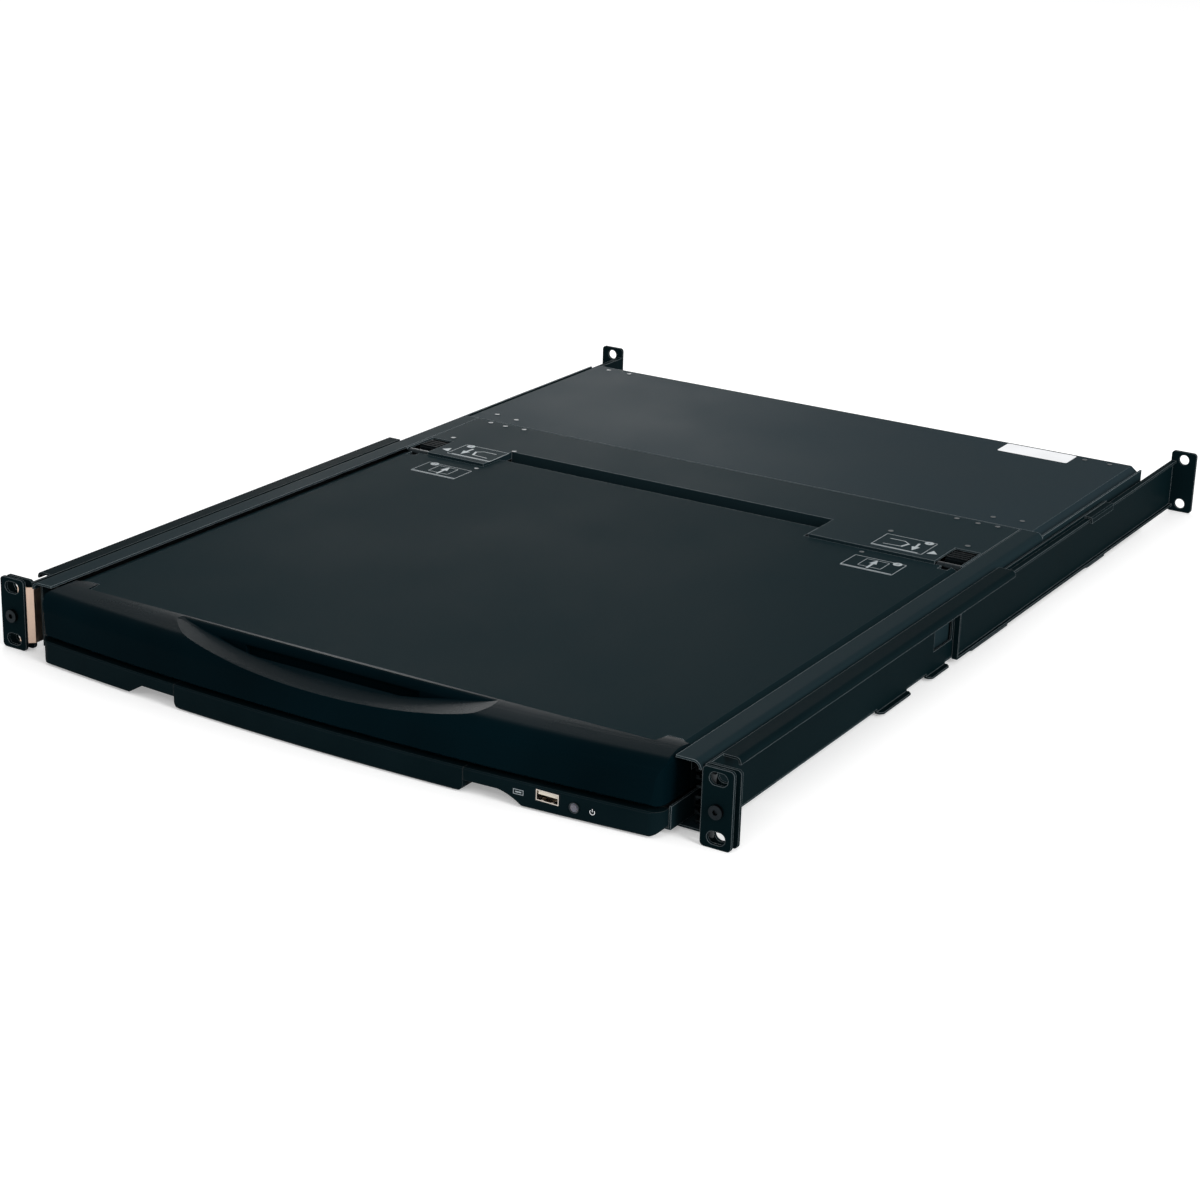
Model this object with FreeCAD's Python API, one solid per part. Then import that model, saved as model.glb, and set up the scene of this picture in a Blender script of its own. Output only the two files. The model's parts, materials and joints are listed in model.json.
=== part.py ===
"""Rack-mounted LCD console drawer, one rack unit high, as an assembly of separate solids.

Frame: X to the right, Y to the rear, Z up, millimetres.  The origin is the centre of the
four front rack slots, on the front face of the mounting ears.
"""
import FreeCAD, Part
import math
import os

from FreeCAD import Vector

# --- rack interface ---------------------------------------------------------------------
RACK_WIDTH = 482.6            # across the ears
RACK_HOLE_SPACING_X = 465.1
RACK_HOLE_SPACING_Z = 31.75
EAR_HEIGHT = 43.2
EAR_THICKNESS = 1.8
EAR_CORNER = 2.5
EAR_GAP = 3.0                 # from the chassis side to the inner edge of an ear
RACK_SLOT_WIDTH = 7.0
RACK_SLOT_LENGTH = 10.5
FRONT_HOLE_RADIUS = 3.8       # round holes of the front rail's ear
REAR_HOLE_RADIUS = 3.5        # round holes of the rear rail's ear
POST_GAP = 3.8                # room for the rack post between the two front ears
EAR_SCREW_Z = -1.2
EAR_SCREW_RADIUS = 2.0
EAR_SCREW_CLEARANCE = 0.1
EAR_SCREW_HEAD = 3.8
EAR_NUT_RADIUS = 3.8
EAR_SOCKET_RADIUS = 1.6
BRACKET_LAP = 6.4
BRACKET_REAR = 70.0
BRACKET_HALF_HEIGHT = 17.0

# --- chassis ----------------------------------------------------------------------------
BODY_WIDTH = 441.0
BODY_TOP = 21.0
BODY_BOTTOM = -20.6
BODY_FRONT = 4.0              # front end of the two top strips
BODY_BACK = 612.0
WALL_FRONT = 11.0             # floor and side walls start behind the ear brackets
SHEET = 1.2
SHOULDER_RADIUS = 4.5         # where the rail top turns down
TOP_FLANGE_LAP = 0.4          # how far the rail top reaches past the slides
REAR_BOX_FRONT = 438.3
REAR_WALL_TOP = 19.3
COVER_SIDE_GAP = 1.7
COVER_BEVEL = 4.6
COVER_BEVEL_SLOPE = 0.8
COVER_SKIRT_BOTTOM = 8.0
BULKHEAD_SETBACK = 2.7
BULKHEAD_FOOT = 10.0
CABLE_SLOT_HALF_WIDTH = 30.0
CABLE_SLOT_Z = (-12.0, -2.0)
BOARD_PILLAR = 5.0            # height of the board pillars, and their side
BOARD_THICKNESS = 1.6

# --- ball slides ------------------------------------------------------------------------
SLIDE_FRONT = 16.0
SLIDE_REAR_GAP = 4.3          # from the outer members to the electronics box
SLIDE_SHEET = 1.2
SLIDE_THICKNESS = 12.9        # from the chassis wall to the moving tray
SLIDE_GAP = 1.2               # race height between two members
MEMBER_SHEET = 1.0
BEAD_WIDTH = 2.0
BEAD_CLEARANCE = 0.05
LCD_SLIDE_Z = 8.4
LCD_SLIDE_HEIGHT = 15.6
KEY_SLIDE_Z = -11.1
KEY_SLIDE_HEIGHT = 14.4

# --- display module ---------------------------------------------------------------------
MODULE_SIDE_GAP = 1.4
MODULE_BOTTOM = -4.0
MODULE_TOP = 19.6
MODULE_SKIN = 1.0
MODULE_EDGE = 6.0             # width of the turned-down edge at each side
MODULE_EDGE_DROP = 2.0
TONGUE_X = (-141.0, 99.0)
TONGUE_LENGTH = 20.0
FRONT_BOW = 11.0              # how far the middle of the front stands out
FRONT_END_Y = -8.0
FRONT_CORNER = 8.0
CAP_SPLIT_Y = 15.0
CAP_EAR_Y = 25.5
CAP_EAR_WIDTH = 17.5
CAP_TOP = 20.4
CAP_SIDE_ROUND = 3.0
CAP_WALL = 2.5
SEAM = 0.4
HANDLE_HALF_SPAN = 97.0       # of the arched line at the front of the grab
HANDLE_DIP = 8.8
HANDLE_FRONT_Y = -14.0
POCKET_HALF_SPAN = 106.6      # of the arched line along the pocket's rear wall
POCKET_DIP = 9.1
POCKET_CENTRE_X = -10.5
POCKET_WALL_Y = 9.0
POCKET_LIP_ROUND = 4.5
RIDGE_TOP = 13.1              # straight edge of the grab, in front of the slot
RIDGE_FOOT = 10.6
RIDGE_FOOT_Y = -7.0
SLOT_FRONT_HALF = 50.0
SLOT_BACK_HALF = 78.5
SLOT_WIDTH = 6.7
SLOT_FLOOR = 1.0
UNDERCUT_DEPTH = 3.5
UNDERCUT_TOP = 15.2
CAP_HOLLOW_X = 103.0
SCREEN_MARGIN_X = 35.5
SCREEN_FRONT = 30.0
SCREEN_MARGIN_REAR = 46.5
BEZEL_SKIN = 1.6
GLASS = 1.5
PANEL_THICKNESS = 12.0
OSD_FROM_REAR = 22.5
OSD_PITCH = 15.0
OSD_POWER_GAP = 21.0
LCD_POWER_INSET = 77.0
OSD_KEY = (9.0, 4.4)          # push keys of the display, along X and Y
OSD_KEY_CORNER = 1.2
OSD_KEY_CLEARANCE = 0.2

# --- display hinge and carriage ---------------------------------------------------------
CARRIAGE_DEPTH = 89.7         # from the back of the display to the back of the carriage
CARRIAGE_REAR_GAP = 1.1
CARRIAGE_FLOOR = -2.4
CARRIAGE_WALL_TOP = 18.0
CARRIAGE_FLOOR_SETBACK = 24.5
HINGE_SETBACK = 4.6
HINGE_Z = 17.8
KNUCKLE_RADIUS = 2.6
PIN_RADIUS = 1.3
PIN_CLEARANCE = 0.05
HINGE_INSET = (17.0, 1.8)     # ends of the outer knuckles, from the module's side
ARM_INSET = (12.3, 6.5)       # ends of the middle knuckle, from the module's side
TAB_SETBACK = 2.0
SLOT_SETBACK = 36.5
CATCH_INSET = (18.0, 1.2)
CATCH_OPENING_SETBACK = 32.0
CATCH_SETBACK = 14.0
CATCH_TRAVEL = 3.0

# --- keyboard drawer --------------------------------------------------------------------
TRAY_FLOOR = -18.9
TRAY_SHEET = 1.0
TRAY_REAR = 262.0
TRAY_WALL_TOP = -6.0
FASCIA_TOP = -7.3
FASCIA_BACK = 1.0
FASCIA_NOTCH = -14.2
FASCIA_LEFT_BOTTOM = -20.2
FASCIA_RIGHT_BOTTOM = -20.6
PULL_INSET = (106.0, 112.0)   # left and right end of the pull, from the module's sides
PULL_GAP = 0.25
PULL_BOTTOM = -21.0
DECK_TOP = -8.4
DECK_SKIN = 2.0
DECK_CLEARANCE = 0.3
USB_INSET = 62.2
USB_Z = -12.2
USB_SIZE = (13.6, 6.0)
LED_INSET = 46.8
LED_Z = -14.3
LED_RADIUS = 2.5
KEY_MARGIN = 4.6              # from the key field to the deck's side
KEY_GAP = 1.0
KEY_TOP = -6.6
KEY_HEIGHT = 4.8
KEY_TAPER = 1.5
KEY_TRAVEL = 2.0
KEY_STEM = 4.0
BLOCK_GAP = 4.5
FUNCTION_ROW_GAP = 3.0
KEYS_FRONT = 101.0
KEY_BASE_TOP = -13.6
PAD_HALF_WIDTH = 33.0
PAD_Y = (44.0, 88.0)
PAD_BUTTON_Y = (29.0, 41.5)
PAD_CLEARANCE = 0.3

# --- rack rails -------------------------------------------------------------------------
RAIL_SHEET = 1.2
RAIL_SIDE_GAP = 0.2           # between an ear bracket and the front rail
REAR_RAIL_SHEET = 1.5
RAIL_CLEARANCE = 0.3
RAIL_EAR_REACH = 0.9          # past the rack width
RAIL_EAR_Z = (-21.4, 20.7)
FRONT_RAIL_TOP = 19.5
FRONT_RAIL_BOTTOM = -17.2
FRONT_FLANGE_REACH = 11.1
FRONT_FLANGE_DROP = 3.8
FRONT_FLANGE_Y = (22.0, 366.0)
FRONT_RAIL_REAR = 541.0
FRONT_RAIL_LOW_TOP = 16.4
FRONT_RAIL_BEND = 3.0
RAIL_WINDOW_Y = (274.0, 299.0)
RAIL_WINDOW_Z = (-6.0, 6.5)
REAR_RAIL_FRONT = 300.5
REAR_RAIL_TOP = 14.3
REAR_RAIL_BOTTOM = -18.6
REAR_FLANGE_REACH = 2.1
REAR_EAR_Y = 665.5
RAIL_TABS = ((201.0, 240.0), (266.0, 292.0), (321.0, 378.0), (505.0, 539.0))
RAIL_CLIP_Y = (503.0, 540.0)

# --- rear connectors --------------------------------------------------------------------
INLET_INSET = 55.5            # from the chassis side
INLET_Z = -2.0
INLET_SIZE = (27.0, 20.0)
INLET_CAVITY = (24.0, 16.6)
INLET_DEPTH = 17.0
INLET_FLANGE = 2.5
INLET_BLADE_LENGTH = 12.4
SWITCH_FROM_INLET = 33.0
SWITCH_SIZE = (19.0, 13.0)
ROCKER_ANGLE = 9.0
ROCKER_PIVOT_RADIUS = 0.9
PORT_X = -60.0
PORT_SIZE = (24.0, 9.0)
PORT_TAPER = 1.4
VENT_COUNT = 8
VENT_PITCH = 11.0
VENT_SIZE = (8.0, 3.0)
VENT_FROM_SWITCH = 45.0

# --- sizes that follow ------------------------------------------------------------------
HALF_BODY = BODY_WIDTH / 2
WALL_INNER_X = HALF_BODY - SHEET
FLOOR_TOP = BODY_BOTTOM + SHEET
SHOULDER_X = HALF_BODY - SHOULDER_RADIUS
EAR_INNER_X = HALF_BODY + EAR_GAP
COVER_EDGE_X = WALL_INNER_X - COVER_SIDE_GAP
COVER_FLAT_X = COVER_EDGE_X - COVER_BEVEL
SLIDE_OUTER_X = WALL_INNER_X
SLIDE_INNER_X = WALL_INNER_X - SLIDE_THICKNESS
SLIDE_REAR = REAR_BOX_FRONT - SLIDE_REAR_GAP
TOP_FLANGE_X = SLIDE_INNER_X - TOP_FLANGE_LAP
MODULE_HALF_WIDTH = SLIDE_INNER_X - MODULE_SIDE_GAP
MODULE_EDGE_X = MODULE_HALF_WIDTH - MODULE_EDGE
CARRIAGE_REAR = REAR_BOX_FRONT - CARRIAGE_REAR_GAP
CARRIAGE_HALF_WIDTH = SLIDE_INNER_X - SHEET
MODULE_REAR = CARRIAGE_REAR - CARRIAGE_DEPTH
CARRIAGE_FLOOR_FRONT = MODULE_REAR + CARRIAGE_FLOOR_SETBACK
TONGUE_REAR = MODULE_REAR + TONGUE_LENGTH
TAB_FRONT = MODULE_REAR + TAB_SETBACK
TAB_LEFT_X = TONGUE_X[0] - 1.0
TAB_RIGHT_X = TONGUE_X[1] + 2.0
SLOT_REAR = MODULE_REAR + SLOT_SETBACK
HINGE_Y = MODULE_REAR + HINGE_SETBACK
HINGE_X = (MODULE_HALF_WIDTH - HINGE_INSET[0], MODULE_HALF_WIDTH - HINGE_INSET[1])
ARM_X = (MODULE_HALF_WIDTH - ARM_INSET[0], MODULE_HALF_WIDTH - ARM_INSET[1])
CATCH_OPENING_X = (MODULE_HALF_WIDTH - CATCH_INSET[0], MODULE_HALF_WIDTH - CATCH_INSET[1])
CATCH_OPENING_REAR = MODULE_REAR + CATCH_OPENING_SETBACK
CAP_EAR_X = MODULE_HALF_WIDTH - CAP_EAR_WIDTH
SCREEN_X = MODULE_HALF_WIDTH - SCREEN_MARGIN_X
SCREEN_Y = (SCREEN_FRONT, MODULE_REAR - SCREEN_MARGIN_REAR)
OSD_Y = MODULE_REAR - OSD_FROM_REAR
LCD_POWER_X = MODULE_HALF_WIDTH - LCD_POWER_INSET
OSD_X = tuple(LCD_POWER_X - OSD_POWER_GAP - step * OSD_PITCH for step in (3, 2, 1, 0))
BOW_RADIUS = (MODULE_HALF_WIDTH ** 2 + FRONT_BOW ** 2) / (2 * FRONT_BOW)
BOW_FRONT = FRONT_END_Y - FRONT_BOW
BOW_CENTRE = BOW_FRONT + BOW_RADIUS
PULL_X = (-MODULE_HALF_WIDTH + PULL_INSET[0], MODULE_HALF_WIDTH - PULL_INSET[1])
USB_X = MODULE_HALF_WIDTH - USB_INSET
LED_X = MODULE_HALF_WIDTH - LED_INSET
DECK_HALF_WIDTH = SLIDE_INNER_X - SHEET - DECK_CLEARANCE
KEY_FIELD_WIDTH = 2 * (DECK_HALF_WIDTH - KEY_MARGIN)
KEY_COLUMNS = 22
KEY_PITCH = (KEY_FIELD_WIDTH - 2 * BLOCK_GAP) / KEY_COLUMNS
KEY_STEM_FOOT = KEY_BASE_TOP - 0.3
RAIL_INNER_X = HALF_BODY + SHEET + RAIL_SIDE_GAP
RAIL_EAR_FRONT = EAR_THICKNESS + POST_GAP
FRONT_WEB_OUTER = RAIL_INNER_X + RAIL_SHEET
FRONT_FLANGE_X = RAIL_INNER_X + FRONT_FLANGE_REACH
REAR_WEB_INNER = FRONT_WEB_OUTER + RAIL_CLEARANCE
REAR_WEB_OUTER = REAR_WEB_INNER + REAR_RAIL_SHEET
REAR_FLANGE_X = REAR_WEB_OUTER + REAR_FLANGE_REACH
HOLE_X = RACK_HOLE_SPACING_X / 2
HOLE_Z = RACK_HOLE_SPACING_Z / 2
INLET_X = HALF_BODY - INLET_INSET
SWITCH_X = INLET_X - SWITCH_FROM_INLET


# --- shape helpers ----------------------------------------------------------------------
def block(x, y, z):
    """Box between the low and high values of each axis."""
    size = (x[1] - x[0], y[1] - y[0], z[1] - z[0])
    return Part.makeBox(*size, Vector(x[0], y[0], z[0]))


def rod(centre, direction, length, radius):
    """Round bar that starts at centre and runs along direction."""
    return Part.makeCylinder(radius, length, Vector(*centre), Vector(*direction))


def face_of(steps, place):
    """Flat face; a step is a point, or a pair (point on an arc, end of the arc)."""
    edges = []
    start = last = place(*steps[0])
    for step in steps[1:]:
        if isinstance(step[0], tuple):
            through, end = place(*step[0]), place(*step[1])
            edges.append(Part.Arc(last, through, end).toShape())
        else:
            end = place(*step)
            edges.append(Part.LineSegment(last, end).toShape())
        last = end
    if last.distanceToPoint(start) > 1e-6:
        edges.append(Part.LineSegment(last, start).toShape())
    return Part.Face(Part.Wire(edges))


def along_y(steps, y):
    """Outline in X and Z, extruded between two values of Y."""
    face = face_of(steps, lambda a, b: Vector(a, y[0], b))
    return face.extrude(Vector(0, y[1] - y[0], 0))


def along_x(steps, x):
    """Outline in Y and Z, extruded between two values of X."""
    face = face_of(steps, lambda a, b: Vector(x[0], a, b))
    return face.extrude(Vector(x[1] - x[0], 0, 0))


def along_z(steps, z):
    """Outline in X and Y, extruded between two values of Z."""
    face = face_of(steps, lambda a, b: Vector(a, b, z[0]))
    return face.extrude(Vector(0, 0, z[1] - z[0]))


def joined(shapes):
    """One solid from touching shapes."""
    first, *rest = shapes
    return first.fuse(rest).removeSplitter()


def group(shapes):
    """Several separate solids kept in one node."""
    return Part.makeCompound(shapes)


def mirrored(shape):
    """The same shape on the other side of the centre plane."""
    return shape.mirror(Vector(0, 0, 0), Vector(1, 0, 0))


def last_point(step):
    """End of a step of an outline."""
    return step[1] if isinstance(step[0], tuple) else step


def flipped(point):
    """Point on the other side of the centre line."""
    return (-point[0], point[1])


def symmetric(half):
    """Closed outline from its right half, given from the centre line outwards and back."""
    left = []
    for step, following in reversed(list(zip(half[:-1], half[1:]))):
        end = flipped(last_point(step))
        arc = isinstance(following[0], tuple)
        left.append((flipped(following[0]), end) if arc else end)
    return half + left


def arc_middle(centre, radius, degrees):
    """Point of a circle at an angle."""
    angle = math.radians(degrees)
    return (centre[0] + radius * math.cos(angle), centre[1] + radius * math.sin(angle))


def rounded_plate(x, z, radius):
    """Outline of a rectangle in X and Z with rounded corners."""
    steps = [(x[0] + radius, z[0])]
    corners = (
        ((x[1] - radius, z[0] + radius), -90),
        ((x[1] - radius, z[1] - radius), 0),
        ((x[0] + radius, z[1] - radius), 90),
        ((x[0] + radius, z[0] + radius), 180),
    )
    for centre, start in corners:
        steps.append(arc_middle(centre, radius, start))
        steps.append((arc_middle(centre, radius, start + 45), arc_middle(centre, radius, start + 90)))
    return steps


def slot_through(x, z, y, length, width):
    """Obround cutter along X through a plate that faces Y."""
    half = (length - width) / 2
    body = block((x - half, x + half), y, (z - width / 2, z + width / 2))
    ends = [rod((x + side * half, y[0], z), (0, 1, 0), y[1] - y[0], width / 2) for side in (-1, 1)]
    return body.fuse(ends).removeSplitter()


def bow_y(x):
    """Y of the bowed front at a distance from the centre plane."""
    return BOW_CENTRE - math.sqrt(BOW_RADIUS ** 2 - x ** 2)


def bowed(steps):
    """Outline in Y and Z, swept along the bowed front of the unit."""
    turn = math.degrees(math.asin(MODULE_HALF_WIDTH / BOW_RADIUS)) + 0.4
    face = face_of(steps, lambda a, b: Vector(0, a, b))
    centre, axis = Vector(0, BOW_CENTRE, 0), Vector(0, 0, 1)
    face.rotate(centre, axis, -turn)
    return face.revolve(centre, axis, 2 * turn)


# --- chassis ----------------------------------------------------------------------------
def chassis_tray():
    """Folded sheet tray with a rolled shoulder along the front half of each side."""
    outer = SHOULDER_RADIUS
    inner = outer - SHEET
    hub = (SHOULDER_X, BODY_TOP - outer)
    half = [
        (0, BODY_BOTTOM),
        (HALF_BODY, BODY_BOTTOM),
        (HALF_BODY, hub[1]),
        (arc_middle(hub, outer, 45), (SHOULDER_X, BODY_TOP)),
        (TOP_FLANGE_X, BODY_TOP),
        (TOP_FLANGE_X, BODY_TOP - SHEET),
        (SHOULDER_X, BODY_TOP - SHEET),
        (arc_middle(hub, inner, 45), (WALL_INNER_X, hub[1])),
        (WALL_INNER_X, FLOOR_TOP),
        (0, FLOOR_TOP),
    ]
    front = along_y(half, (BODY_FRONT, REAR_BOX_FRONT))
    rear = joined([
        block((0, HALF_BODY), (REAR_BOX_FRONT, BODY_BACK), (BODY_BOTTOM, FLOOR_TOP)),
        block((WALL_INNER_X, HALF_BODY), (REAR_BOX_FRONT, BODY_BACK), (FLOOR_TOP, REAR_WALL_TOP)),
    ])
    right = front.fuse(rear)
    relief = block((-1, HALF_BODY + 1), (BODY_FRONT - 1, WALL_FRONT), (BODY_BOTTOM - 1, hub[1]))
    right = right.cut(relief)
    return joined([right, mirrored(right)])


def rear_cover():
    """Lid of the electronics box, with bevelled edges and skirts inside the side walls."""
    bevel_bottom = BODY_TOP - COVER_BEVEL * COVER_BEVEL_SLOPE
    half = [
        (0, BODY_TOP),
        (COVER_FLAT_X, BODY_TOP),
        (COVER_EDGE_X, bevel_bottom),
        (COVER_EDGE_X, COVER_SKIRT_BOTTOM),
        (COVER_EDGE_X - SHEET, COVER_SKIRT_BOTTOM),
        (COVER_EDGE_X - SHEET, bevel_bottom - SHEET * 0.4),
        (COVER_FLAT_X - SHEET * 0.4, BODY_TOP - SHEET),
        (0, BODY_TOP - SHEET),
    ]
    right = along_y(half, (REAR_BOX_FRONT, BODY_BACK))
    lip = block((0, COVER_FLAT_X - 1), (REAR_BOX_FRONT, REAR_BOX_FRONT + SHEET), (14, BODY_TOP - SHEET))
    hem = block(
        (WALL_INNER_X - 3, WALL_INNER_X),
        (REAR_BOX_FRONT + 22, BODY_BACK - 22),
        (COVER_SKIRT_BOTTOM, COVER_SKIRT_BOTTOM + SHEET),
    )
    right = joined([right, lip, hem])
    return joined([right, mirrored(right)])


def box_wall(y, top):
    """Cross wall of the electronics box, stepped in for the skirts of its cover."""
    return along_y(
        symmetric([
            (0, FLOOR_TOP),
            (WALL_INNER_X, FLOOR_TOP),
            (WALL_INNER_X, COVER_SKIRT_BOTTOM),
            (COVER_EDGE_X - SHEET, COVER_SKIRT_BOTTOM),
            (COVER_EDGE_X - SHEET, min(top, 16.0)),
            (COVER_FLAT_X - 3.0, top),
            (0, top),
        ]),
        y,
    )


def rear_bulkhead():
    """Front wall of the electronics box."""
    front = REAR_BOX_FRONT + BULKHEAD_SETBACK
    wall = box_wall((front, front + SHEET), BODY_TOP - SHEET)
    half = CABLE_SLOT_HALF_WIDTH
    cable_slot = block((-half, half), (front - 1, front + SHEET + 1), CABLE_SLOT_Z)
    foot = block(
        (-WALL_INNER_X, WALL_INNER_X), (front, front + BULKHEAD_FOOT), (FLOOR_TOP, FLOOR_TOP + SHEET)
    )
    return joined([wall.cut(cable_slot), foot])


def inlet_outline(x, z, size, chamfer):
    """Rectangle with its two lower corners cut off, as on a mains inlet."""
    left, right = x - size[0] / 2, x + size[0] / 2
    low, high = z - size[1] / 2, z + size[1] / 2
    return [
        (left + chamfer, low),
        (right - chamfer, low),
        (right, low + chamfer),
        (right, high),
        (left, high),
        (left, low + chamfer),
    ]


def port_outline(x, z, size):
    """Trapezium of a D-shaped connector, wide side up."""
    half, drop = size[0] / 2, size[1] / 2
    return [
        (x - half + PORT_TAPER, z - drop),
        (x + half - PORT_TAPER, z - drop),
        (x + half, z + drop),
        (x - half, z + drop),
    ]


def rear_panel():
    """Rear wall with the holes of its connectors and a row of vent slots."""
    y = (BODY_BACK - SHEET, BODY_BACK)
    cut = (y[0] - 1, y[1] + 1)
    wall = box_wall(y, BODY_TOP - SHEET)
    holes = [
        along_y(inlet_outline(INLET_X, INLET_Z, INLET_SIZE, 4.0), cut),
        block(
            (SWITCH_X - SWITCH_SIZE[0] / 2, SWITCH_X + SWITCH_SIZE[0] / 2),
            cut,
            (INLET_Z - SWITCH_SIZE[1] / 2, INLET_Z + SWITCH_SIZE[1] / 2),
        ),
        along_y(port_outline(PORT_X, INLET_Z, PORT_SIZE), cut),
    ]
    wide, high = VENT_SIZE
    for index in range(VENT_COUNT):
        x = SWITCH_X - VENT_FROM_SWITCH - index * VENT_PITCH
        vent = block((x - wide / 2, x + wide / 2), cut, (INLET_Z - high / 2, INLET_Z + high / 2))
        holes.append(vent)
    return wall.cut(holes)


def power_inlet():
    """Mains inlet: flanged housing, cavity and three blades."""
    depth = (BODY_BACK - SHEET - INLET_DEPTH - 3, BODY_BACK + INLET_FLANGE)
    body = along_y(inlet_outline(INLET_X, INLET_Z, INLET_SIZE, 4.0), depth)
    flange = along_y(
        rounded_plate(
            (INLET_X - INLET_SIZE[0] / 2 - 2, INLET_X + INLET_SIZE[0] / 2 + 2),
            (INLET_Z - INLET_SIZE[1] / 2 - 2, INLET_Z + INLET_SIZE[1] / 2 + 2),
            2.0,
        ),
        (BODY_BACK, BODY_BACK + INLET_FLANGE),
    )
    floor_y = depth[1] - INLET_DEPTH
    cavity = along_y(
        inlet_outline(INLET_X, INLET_Z, INLET_CAVITY, 3.6), (floor_y, depth[1] + 1)
    )
    shell = joined([body, flange]).cut(cavity)
    blades = [
        block(
            (INLET_X + x - 1, INLET_X + x + 1),
            (floor_y - 1, floor_y + INLET_BLADE_LENGTH),
            (INLET_Z + z - 2, INLET_Z + z + 2),
        )
        for x, z in ((-7, -1.5), (0, 2.5), (7, -1.5))
    ]
    return joined([shell, *blades])


def power_switch_body():
    """Frame of the rocker switch, with a pivot on each side of the rocker."""
    half_x, half_z = SWITCH_SIZE[0] / 2, SWITCH_SIZE[1] / 2
    y = (BODY_BACK - 16, BODY_BACK + 1.6)
    body = block((SWITCH_X - half_x, SWITCH_X + half_x), y, (INLET_Z - half_z, INLET_Z + half_z))
    flange = block(
        (SWITCH_X - half_x - 1.5, SWITCH_X + half_x + 1.5),
        (BODY_BACK, y[1]),
        (INLET_Z - half_z - 1.5, INLET_Z + half_z + 1.5),
    )
    well = block(
        (SWITCH_X - half_x + 1.5, SWITCH_X + half_x - 1.5),
        (BODY_BACK - 9, y[1] + 1),
        (INLET_Z - half_z + 1.5, INLET_Z + half_z - 1.5),
    )
    pivots = [
        rod(
            (SWITCH_X, BODY_BACK - 2, INLET_Z + side * (half_z - 1.5)),
            (0, 0, -side),
            0.9,
            ROCKER_PIVOT_RADIUS,
        )
        for side in (-1, 1)
    ]
    return joined([joined([body, flange]).cut(well), *pivots])


def power_rocker():
    """Rocker with its V-shaped face, turning about a vertical pivot."""
    half_x = SWITCH_SIZE[0] / 2 - 1.9
    half_z = SWITCH_SIZE[1] / 2 - 1.9
    pivot_y = BODY_BACK - 2
    lean = math.tan(math.radians(ROCKER_ANGLE / 2))
    outline = [
        (SWITCH_X - half_x, pivot_y + 2.2 + half_x * lean),
        (SWITCH_X, pivot_y + 2.2),
        (SWITCH_X + half_x, pivot_y + 2.2 + half_x * lean),
        (SWITCH_X + half_x, pivot_y - 0.8),
        (SWITCH_X + 2.5, pivot_y - 4.0),
        (SWITCH_X - 2.5, pivot_y - 4.0),
        (SWITCH_X - half_x, pivot_y - 0.8),
    ]
    body = along_z(outline, (INLET_Z - half_z, INLET_Z + half_z))
    body.rotate(Vector(SWITCH_X, pivot_y, 0), Vector(0, 0, 1), ROCKER_ANGLE / 2)
    radius = ROCKER_PIVOT_RADIUS + PIN_CLEARANCE
    bore = rod((SWITCH_X, pivot_y, INLET_Z - half_z - 1), (0, 0, 1), 2 * half_z + 2, radius)
    return body.cut(bore)


def console_port():
    """D-shaped console connector: shell, insulator face, flange and two studs."""
    shell = along_y(port_outline(PORT_X, INLET_Z, PORT_SIZE), (BODY_BACK - 9, BODY_BACK + 6))
    inner = (PORT_SIZE[0] - 1.2, PORT_SIZE[1] - 1.2)
    hollow = along_y(port_outline(PORT_X, INLET_Z, inner), (BODY_BACK + 0.5, BODY_BACK + 7))
    flange = along_y(
        rounded_plate((PORT_X - 15.5, PORT_X + 15.5), (INLET_Z - 6, INLET_Z + 6), 1.5),
        (BODY_BACK - SHEET - 0.8, BODY_BACK - SHEET),
    )
    return joined([shell.cut(hollow), flange])


def board_on_pillars(x, y, inset):
    """Circuit board on four square pillars; gives the pieces and the level of its top."""
    top = FLOOR_TOP + BOARD_PILLAR + BOARD_THICKNESS
    pieces = [block(x, y, (top - BOARD_THICKNESS, top))]
    side = BOARD_PILLAR
    height = (FLOOR_TOP, top - BOARD_THICKNESS)
    for px in (x[0] + inset, x[1] - inset - side):
        for py in (y[0] + inset, y[1] - inset - side):
            pieces.append(block((px, px + side), (py, py + side), height))
    return pieces, top


def power_supply_left():
    """X of the left edge of the power supply."""
    return INLET_X - 59.0


def main_board():
    """Controller board on its pillars, with four square chips."""
    x = (-HALF_BODY + 70.5, power_supply_left() - 16)
    y = (REAR_BOX_FRONT + 23.7, BODY_BACK - 14)
    pieces, top = board_on_pillars(x, y, 6.0)
    for left, ahead, size in (
        (x[0] + 20, 28, 28),
        (x[0] + 66, 38, 20),
        (x[1] - 60, 58, 24),
        (x[1] - 26, 18, 16),
    ):
        chip = block((left, left + size), (y[0] + ahead, y[0] + ahead + size), (top, top + 2.4))
        pieces.append(chip)
    return joined(pieces)


def power_supply():
    """Power supply board with transformer, finned heat sink and two capacitors."""
    x = (power_supply_left(), HALF_BODY - 8.5)
    y = (REAR_BOX_FRONT + 17.7, BODY_BACK - 26)
    pieces, top = board_on_pillars(x, y, 4.0)
    transformer = block((x[0] + 24, x[0] + 60), (y[0] + 44, y[0] + 78), (top, top + 20))
    sink = [block((x[0] + 78, x[0] + 94), (y[0] + 24, y[0] + 84), (top, top + 2))]
    for fin in range(3):
        left = x[0] + 78 + fin * 7
        sink.append(block((left, left + 2), (y[0] + 24, y[0] + 84), (top, top + 20)))
    cans = [rod((x[0] + along, y[0] + 20, top), (0, 0, 1), 18, 7) for along in (18, 38)]
    return joined([*pieces, transformer, *sink, *cans])


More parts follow.
